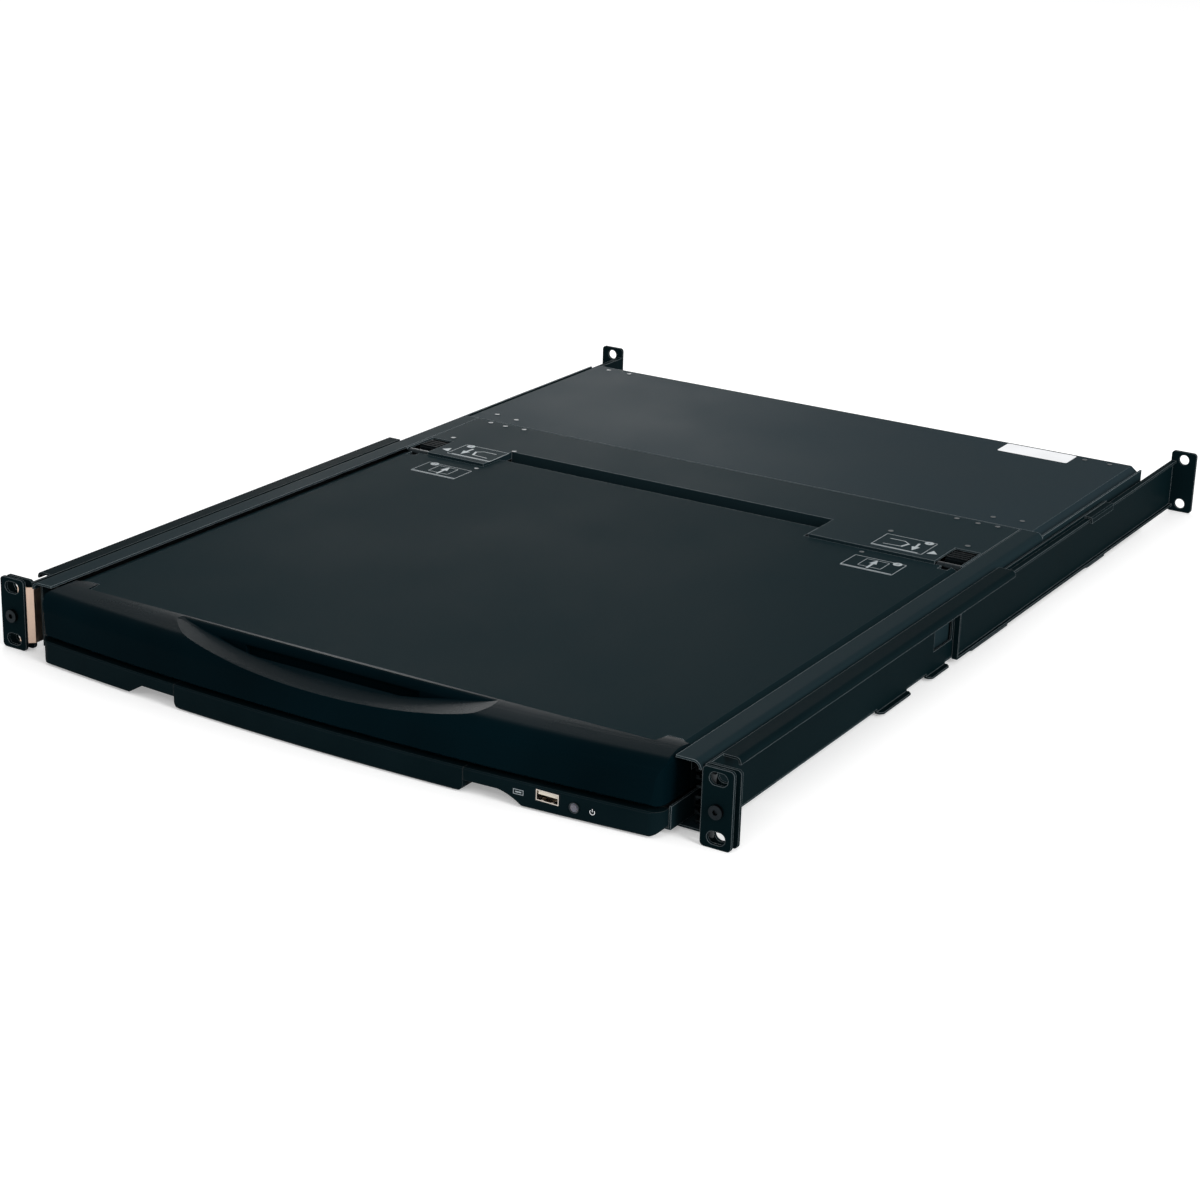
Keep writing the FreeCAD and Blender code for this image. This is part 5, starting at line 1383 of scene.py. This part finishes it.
    def switch_marks(self) -> None:
        """On and off marks on the rocker: a stroke and a ring."""
        low, high = span("power_rocker")
        x, z, out = (low.x + high.x) / 2, (low.z + high.z) / 2, high.y + self.mark_clearance
        body = carrier("power_rocker")
        place = (x - self.mark_reach, out, z)
        stroke = self.bench.flat("rocker_on_mark", place, self.stroke_size, facing=Facing.REAR)
        self.bench.wrap(stroke, "power_rocker", self.mark_film)
        self.bench.deliver(stroke, Finish.PAPER, body)
        place = (x + self.mark_reach, out, z)
        size = (self.ring_size, self.ring_size)
        ring = self.bench.flat("rocker_off_mark", place, size, sides=24, facing=Facing.REAR)
        self.bench.outline(ring, self.ring_line)
        self.bench.wrap(ring, "power_rocker", self.mark_film)
        self.bench.deliver(ring, Finish.PAPER, body)


@dataclass
class RackRails:
    """Mounting ears, brackets and the telescoping rails."""

    bench: Bench

    def build(self) -> None:
        """Dress the nodes."""
        palette = self.bench.palette
        palette.dress_nodes(Finish.RAIL, *sided("chassis_ear", "rail_front", "rail_rear"))
        palette.dress_nodes(Finish.BARE, "ear_bracket_left")
        # the right bracket mirrors the bare left one; its darker steel is painted shade
        palette.dress_nodes(Finish.SHADED_STEEL, "ear_bracket_right")
        palette.dress_nodes(Finish.SCREW, "ear_screws")


@dataclass
class BallSlides:
    """Two pairs of ball-bearing slides."""

    bench: Bench

    def build(self) -> None:
        """Dress the nodes."""
        names = [stem + part for stem in ("lcd_slide", "keyboard_slide") for part in ("_outer", "_middle", "_inner")]
        self.bench.palette.dress_nodes(Finish.SLIDE, *names)


@dataclass
class DisplayModule:
    """Folding display with its carriage and catches."""

    bench: Bench
    carriage_rivets: Sequence[Span] = ((140.7, 385.0), (164.0, 433.0), (179.0, 432.0), (192.0, 433.0), (192.0, 387.0))
    plate_dimples: Sequence[Span] = ((142.0, 341.5), (-142.0, 341.5))
    label_span: Span = (141.0, 175.5)
    release_span: Span = (355.0, 379.5)
    raise_span: Span = (313.0, 335.0)
    rivet: Span = (1.7, 0.32)
    dimple: Span = (1.5, 0.25)
    border: float = 17.0
    border_margin: float = 0.3
    border_film: float = 0.05

    def build(self) -> None:
        """Model the pieces and dress the nodes."""
        self.dress()
        self.labels()
        self.rivets()
        self.screen_border()

    def dress(self) -> None:
        """Finish the nodes of the display and its carriage."""
        palette = self.bench.palette
        palette.dress_nodes(Finish.PANEL, "lcd_back_plate")
        palette.dress_nodes(Finish.CARRIAGE, "carriage_cover", "carriage_base")
        palette.dress_nodes(Finish.CAP, "lcd_front_cap")
        palette.dress_nodes(Finish.FASCIA, "lcd_inner_bezel")
        palette.dress_nodes(Finish.INSULATOR, *sided("release_catch"))
        palette.dress_nodes(Finish.GLASS, "lcd_glass")
        palette.dress_nodes(Finish.ZINC, "lcd_panel")
        palette.dress_nodes(Finish.SLIDE, "hinge_pins", *sided("lcd_hinge_arm", "hinge_bracket"))
        palette.dress_nodes(Finish.BOARD, "osd_board")
        palette.dress_nodes(Finish.KEY, "osd_buttons", "lcd_power_button")

    def labels(self) -> None:
        """Printed labels beside both catches."""
        for side, word in ((1, "right"), (-1, "left")):
            common = {"left": self.label_span[0], "right": self.label_span[1], "side": side}
            ReleaseLabel(
                self.bench,
                f"release_label_{word}",
                "1",
                carrier("carriage_cover"),
                span("carriage_cover")[1].z,
                front=self.release_span[0],
                rear=self.release_span[1],
                **common,
            ).build()
            RaiseLabel(
                self.bench,
                f"raise_label_{word}",
                "2",
                carrier("lcd_back_plate"),
                span("lcd_back_plate")[1].z,
                front=self.raise_span[0],
                rear=self.raise_span[1],
                **common,
            ).build()

    def rivets(self) -> None:
        """Low rivets of the carriage and dimples of the display's back plate."""
        top = span("carriage_cover")[1].z
        places = [(side * x, y, top) for x, y in self.carriage_rivets for side in (1, -1)]
        master = self.bench.rivet_head("carriage_rivet", *self.rivet)
        self.bench.spread(master, places, Finish.RIVET, carrier("carriage_cover"))
        top = span("lcd_back_plate")[1].z
        master = self.bench.rivet_head("plate_rivet", *self.dimple)
        places = [(x, y, top) for x, y in self.plate_dimples]
        self.bench.spread(master, places, Finish.RIVET, carrier("lcd_back_plate"))

    def screen_border(self) -> None:
        """Black printed border of the display glass."""
        low, high = span("lcd_glass")
        centre = ((low.x + high.x) / 2, (low.y + high.y) / 2, low.z)
        margin = 2 * self.border_margin
        size = (high.x - low.x - margin, high.y - low.y - margin)
        piece = self.bench.flat("screen_border", centre, size, facing=Facing.DOWN)
        self.bench.outline(piece, self.border)
        self.bench.raise_flat(piece, 0.0, 0.0, -self.border_film)
        self.bench.deliver(piece, Finish.INSULATOR, carrier("lcd_glass"))


@dataclass
class KeyboardDrawer:
    """Keyboard drawer with its bowed fascia and pull."""

    bench: Bench
    rows: int = 6
    pitch: float = 17.8
    field_left: float = -200.3
    digit_row: int = 5
    home_row: int = 3
    home_keys: Sequence[float] = (-106.9, -53.5)
    bar_half: Span = (2.2, 0.35)
    bar_rise: Span = (-0.1, 0.35)
    bar_round: float = 0.15
    bar_setback: float = 5.2
    digits: str = "1234567890"
    digit_size: float = 5.0
    digit_film: float = 0.02
    digit_shift: float = 2.4
    digit_setback: float = 10.2
    lamp_half: Span = (1.6, 0.6)
    lamp_rise: Span = (-0.2, 0.35)
    lamp_round: float = 0.3
    lamp_places: Sequence[Span] = ((150.0, 225.0), (162.0, 225.0), (174.0, 225.0))
    tongue_half: float = 5.75
    tongue_span: Span = (0.9, 4.0)
    tongue_drop: Span = (0.62, 2.75)
    tongue_rim: float = 0.35
    tongue_nose: float = 0.25
    contact_low: Sequence[float] = (-0.5, 0.0, -0.16)
    contact_high: Sequence[float] = (0.5, 2.4, 0.04)
    contact_round: float = 0.05
    contact_setback: float = 1.1
    contact_drop: float = 2.78
    contact_steps: Sequence[float] = (-3.6, -1.2, 1.2, 3.6)
    spring_low: Sequence[float] = (-0.8, 0.0, -0.05)
    spring_high: Sequence[float] = (0.8, 3.2, 0.15)
    spring_hump: float = 0.55
    spring_hump_span: Span = (1.2, 2.0)
    spring_setback: float = 0.5
    spring_rise: float = 0.55
    spring_steps: Sequence[float] = (-3.0, 3.0)
    collar_radius: float = 2.95
    collar_bore: float = 2.5
    collar_depth: float = 1.1
    cutter_depth: float = 4.0
    collar_setback: float = 0.75
    collar_round: float = 0.12
    mark_line: float = 0.32
    mark_film: float = 0.05
    mark_clearance: float = 6.0
    power_mark_gap: float = 7.5
    power_ring: float = 3.0
    power_ring_drop: float = 0.2
    power_bar: float = 1.7
    power_gap: float = 0.75
    socket_mark_gap: float = 10.0
    socket_mark_drop: float = 1.0
    socket_rim: Span = (6.0, 2.8)
    socket_core: Span = (3.6, 0.7)

    def build(self) -> None:
        """Model the pieces and dress the nodes."""
        self.dress()
        self.homing_bars()
        self.key_numbers()
        self.lock_lamps()
        self.usb_details()
        self.lamp_ring()
        self.fascia_marks()

    def dress(self) -> None:
        """Finish the nodes of the keyboard drawer."""
        palette = self.bench.palette
        palette.dress_nodes(Finish.PANEL, "keyboard_tray")
        palette.dress_nodes(Finish.FASCIA, "keyboard_fascia", "drawer_pull")
        palette.dress_nodes(Finish.DECK, "keyboard_deck", "keyboard_base")
        rows = [f"key_row_{row + 1}" for row in range(self.rows)]
        palette.dress_nodes(Finish.KEY, "space_bar", *rows, *sided("touchpad_button"))
        palette.dress_nodes(Finish.PAD, "touchpad")
        palette.dress_nodes(Finish.SHELL, "usb_port")
        palette.dress_nodes(Finish.LENS, "power_led")

    def homing_bars(self) -> None:
        """Raised bars on the two homing keys."""
        node = f"key_row_{self.home_row}"
        low, high = span(node)
        y = low.y + self.bar_setback
        wide, deep = self.bar_half
        foot, top = (high.z + rise for rise in self.bar_rise)
        bars = []
        for index, x in enumerate(self.home_keys):
            bar = self.bench.block(f"bar_{index}", (x - wide, y - deep, foot), (x + wide, y + deep, top))
            self.bench.round_edges(bar, self.bar_round, 2)
            bars.append(bar)
        self.bench.deliver(self.bench.join("homing_bars", *bars), Finish.KEY, carrier(node))

    def key_numbers(self) -> None:
        """Digits on the number keys."""
        node = f"key_row_{self.digit_row}"
        low, high = span(node)
        digits = []
        for index, digit in enumerate(self.digits):
            x = self.field_left + (index + 1.5) * self.pitch - self.digit_shift
            place = (x, low.y + self.digit_setback, high.z)
            digits.append(self.bench.numeral(f"digit_{index}", digit, place, self.digit_size, self.digit_film))
        self.bench.deliver(self.bench.join("key_numbers", *digits), Finish.PAPER, carrier(node))

    def lock_lamps(self) -> None:
        """Three small lamps for the keyboard's locks."""
        top = span("keyboard_deck")[1].z
        (wide, deep), (foot, rise) = self.lamp_half, self.lamp_rise
        lamp = self.bench.block("lock_lamp", (-wide, -deep, foot), (wide, deep, rise))
        self.bench.round_edges(lamp, self.lamp_round, 3)
        places = [(x, y, top) for x, y in self.lamp_places]
        self.bench.spread(lamp, places, Finish.LENS, carrier("keyboard_deck"))

    def usb_details(self) -> None:
        """Tongue cover, contacts and springs inside the USB socket."""
        low, high = span("usb_port")
        body = carrier("usb_port")
        x, front = (low.x + high.x) / 2, low.y
        (near, far), (over, under) = self.tongue_span, self.tongue_drop
        corner = (x - self.tongue_half, front + near, high.z - under)
        tongue = self.bench.block("usb_tongue", corner, (x + self.tongue_half, front + far, high.z - over))
        self.bench.faces(tongue, lambda centre, normal: normal.y < -FACING_SHARE)
        self.bench.inset(self.tongue_rim)
        self.bench.extrude(0.0, -self.tongue_nose, 0.0)
        self.bench.close()
        self.bench.deliver(tongue, Finish.IVORY, body)
        contact = self.bench.block("usb_contact", self.contact_low, self.contact_high)
        self.bench.round_edges(contact, self.contact_round, 1)
        y, z = front + self.contact_setback, high.z - self.contact_drop
        self.bench.spread(contact, [(x + step, y, z) for step in self.contact_steps], Finish.GOLD, body)
        spring = self.bench.block("usb_spring", self.spring_low, self.spring_high)
        self.bench.top(spring)
        bpy.ops.mesh.subdivide(number_cuts=3)
        near, far = self.spring_hump_span
        self.bench.points(spring, lambda place: place.z > 0.0 and near < place.y < far)
        self.bench.shift(0.0, 0.0, self.spring_hump)
        self.bench.close()
        y, z = front + self.spring_setback, low.z + self.spring_rise
        self.bench.spread(spring, [(x + step, y, z) for step in self.spring_steps], Finish.SHELL, body)

    def lamp_ring(self) -> None:
        """Thin collar round the power lamp."""
        low, high = span("power_led")
        centre = ((low.x + high.x) / 2, low.y + self.collar_setback, (low.z + high.z) / 2)
        ring = self.bench.drum("lamp_ring", centre, self.collar_radius, self.collar_depth, 36, Facing.FRONT)
        bore = self.bench.drum("lamp_bore", centre, self.collar_bore, self.cutter_depth, 36, Facing.FRONT)
        self.bench.carve(ring, bore)
        self.bench.round_edges(ring, self.collar_round, 2)
        self.bench.deliver(ring, Finish.RIVET, carrier("power_led"))

    def fascia_marks(self) -> None:
        """Printed marks by the lamp and the socket: a power sign and a socket outline."""
        low, high = span("power_led")
        self.power_sign(high.x + self.power_mark_gap, (low.z + high.z) / 2)
        low, high = span("usb_port")
        self.socket_sign(low.x - self.socket_mark_gap, (low.z + high.z) / 2 - self.socket_mark_drop)

    def front_mark(self, name: str, x: float, z: float, size: Span, sides: int = 4) -> bpy.types.Object:
        """Flat shape in front of the fascia.

        Args:
            name: name of the shape.
            x: its middle across.
            z: its middle up.
            size: its width and height.
            sides: four for a rectangle, else its sides.

        Returns:
            The shape.
        """
        out = span("keyboard_fascia")[0].y - self.mark_clearance
        return self.bench.flat(name, (x, out, z), size, sides=sides, facing=Facing.FRONT)

    def print_on_fascia(self, sign: bpy.types.Object, finish: Finish) -> None:
        """Lay a sign on the fascia and hand it over."""
        self.bench.wrap(sign, "keyboard_fascia", self.mark_film)
        self.bench.deliver(sign, finish, carrier("keyboard_fascia"))

    def power_sign(self, x: float, z: float) -> None:
        """Ring that is open at the top, with a bar in the gap."""
        size = (self.power_ring, self.power_ring)
        ring = self.front_mark("power_ring", x, z - self.power_ring_drop, size, 32)
        self.bench.outline(ring, self.mark_line)
        self.bench.faces(ring, lambda centre, normal: centre.z > z + self.power_gap)
        bpy.ops.mesh.delete(type="FACE")
        self.bench.close()
        bar = self.front_mark("power_bar", x, z + self.power_gap, (self.mark_line, self.power_bar))
        self.print_on_fascia(self.bench.join("power_sign", ring, bar), Finish.PAPER)

    def socket_sign(self, x: float, z: float) -> None:
        """Outline of a socket with its tongue."""
        rim = self.front_mark("socket_rim", x, z, self.socket_rim)
        self.bench.outline(rim, self.mark_line)
        core = self.front_mark("socket_core", x, z, self.socket_core)
        self.print_on_fascia(self.bench.join("socket_sign", rim, core), Finish.INK)


# --- studio ---------------------------------------------------------------------------------
@dataclass(frozen=True)
class Lamp:
    """Rectangular lamp: where it hangs, its size, its watts and the point that it faces; in metres."""

    name: str
    place: Sequence[float]
    size: Span
    power: float
    aim: Sequence[float]

    def hang(self) -> None:
        """Add the lamp to the scene."""
        data = bpy.data.lights.new(self.name, "AREA")
        data.shape = "RECTANGLE"
        data.size, data.size_y = self.size
        data.energy = self.power
        lamp = bpy.data.objects.new(self.name, data)
        bpy.context.scene.collection.objects.link(lamp)
        direction = Vector(self.aim) - Vector(self.place)
        lamp.rotation_euler = direction.to_track_quat("-Z", "Y").to_euler()
        lamp.location = self.place


@dataclass
class Studio:
    """Pale floor, soft lights and the camera."""

    eye: Sequence[float] = (0.7759, -1.0223, 0.5303)
    azimuth: float = 30.99
    elevation: float = 20.10
    roll: float = 1.80
    lens: float = 77.64
    film_width: float = 36.0
    nearest: float = 0.01
    floor_half: float = 9.0
    floor_middle: Span = (0.0, 0.3)
    floor_gap: float = 0.0002
    floor_colour: Colour = (0.92, 0.92, 0.92)
    floor_darker: float = 0.99
    floor_cloud: Waves = (1.5, 2.0, 0.5)
    floor_rough: float = 0.9
    floor_glow: float = 0.30
    white: Colour = (1.0, 1.0, 1.0)
    sky: float = 0.68
    lamps: Sequence[Lamp] = (
        Lamp("key_lamp", (-1.6, 1.9, 1.9), (1.4, 1.4), 12.0, (0.0, 0.3, 0.0)),
        Lamp("side_lamp", (2.3, -0.5, 0.9), (0.8, 1.6), 46.0, (0.1, 0.2, 0.0)),
        Lamp("low_lamp", (-1.55, 2.45, 0.45), (1.0, 0.6), 10.0, (-0.1, 0.3, 0.0)),
        Lamp("front_lamp", (0.2, -1.8, 1.6), (1.6, 0.3), 5.0, (0.0, 0.0, 0.0)),
    )

    def camera(self) -> None:
        """Place the camera."""
        data = bpy.data.cameras.new("camera")
        data.lens = self.lens
        data.sensor_width = self.film_width
        data.clip_start = self.nearest
        camera = bpy.data.objects.new("camera", data)
        bpy.context.scene.collection.objects.link(camera)
        turn = math.radians(self.azimuth)
        rise = math.radians(self.elevation)
        back = Vector((math.sin(turn) * math.cos(rise), -math.cos(turn) * math.cos(rise), math.sin(rise)))
        right = Vector((0.0, 0.0, 1.0)).cross(back).normalized()
        axes = Matrix((right, back.cross(right), back)).transposed().to_4x4()
        rolled = Matrix.Rotation(math.radians(self.roll), 4, "Z")
        camera.matrix_world = Matrix.Translation(self.eye) @ axes @ rolled
        bpy.context.scene.camera = camera

    def floor(self) -> None:
        """Lay a pale floor that keeps the shadow and looks white to the camera."""
        low = CAD_BOX[0][2]
        place = (*self.floor_middle, low - self.floor_gap)
        bpy.ops.mesh.primitive_plane_add(size=2 * self.floor_half, location=place)
        floor = bpy.context.object
        floor.name = "floor"
        shader = Shader("pale_floor")
        cloud = shader.noise(self.floor_cloud)
        tint = shader.mottle(cloud, self.floor_colour, scaled(self.floor_colour, self.floor_darker))
        shader.set(Base_Color=tint, Roughness=self.floor_rough, Specular_IOR_Level=0.0)
        seen = shader.background_rays()
        glow = shader.node("ShaderNodeEmission", None, {"Strength": seen * self.floor_glow})
        both = shader.node("ShaderNodeAddShader", None, {0: shader.surface.outputs[0], 1: glow.outputs[0]})
        shader.feed(shader.output.inputs["Surface"], both.outputs[0])
        floor.data.materials.append(shader.material)

    def world(self) -> None:
        """White surroundings to the eye, plain soft light on the object."""
        world = bpy.data.worlds.new("studio")
        bpy.context.scene.world = world
        world.use_nodes = True
        graph = Graph(world.node_tree)
        seen = graph.background_rays()
        level = graph.node("ShaderNodeMapRange", None, {0: seen, 3: self.sky, 4: 1.0}).outputs[0]
        sky = graph.node("ShaderNodeBackground", None, {"Color": self.white, "Strength": level}).outputs[0]
        graph.node("ShaderNodeOutputWorld", None, {"Surface": sky})

    def build(self) -> None:
        """Set up everything around the object."""
        self.floor()
        self.world()
        for lamp in self.lamps:
            lamp.hang()
        self.camera()
        bpy.context.scene.view_settings.view_transform = "Standard"


def main() -> None:
    """Build the sub-assemblies in order, then the studio."""
    logging.basicConfig(level=logging.INFO, format="%(name)s: %(message)s")
    bpy.ops.object.select_all(action="DESELECT")
    bench = Bench(Palette())
    for assembly in (Chassis, RackRails, BallSlides, DisplayModule, KeyboardDrawer):
        assembly(bench).build()
        LOG.info("%s built", assembly.__name__)
    Studio().build()


if __name__ == "__main__":
    main()
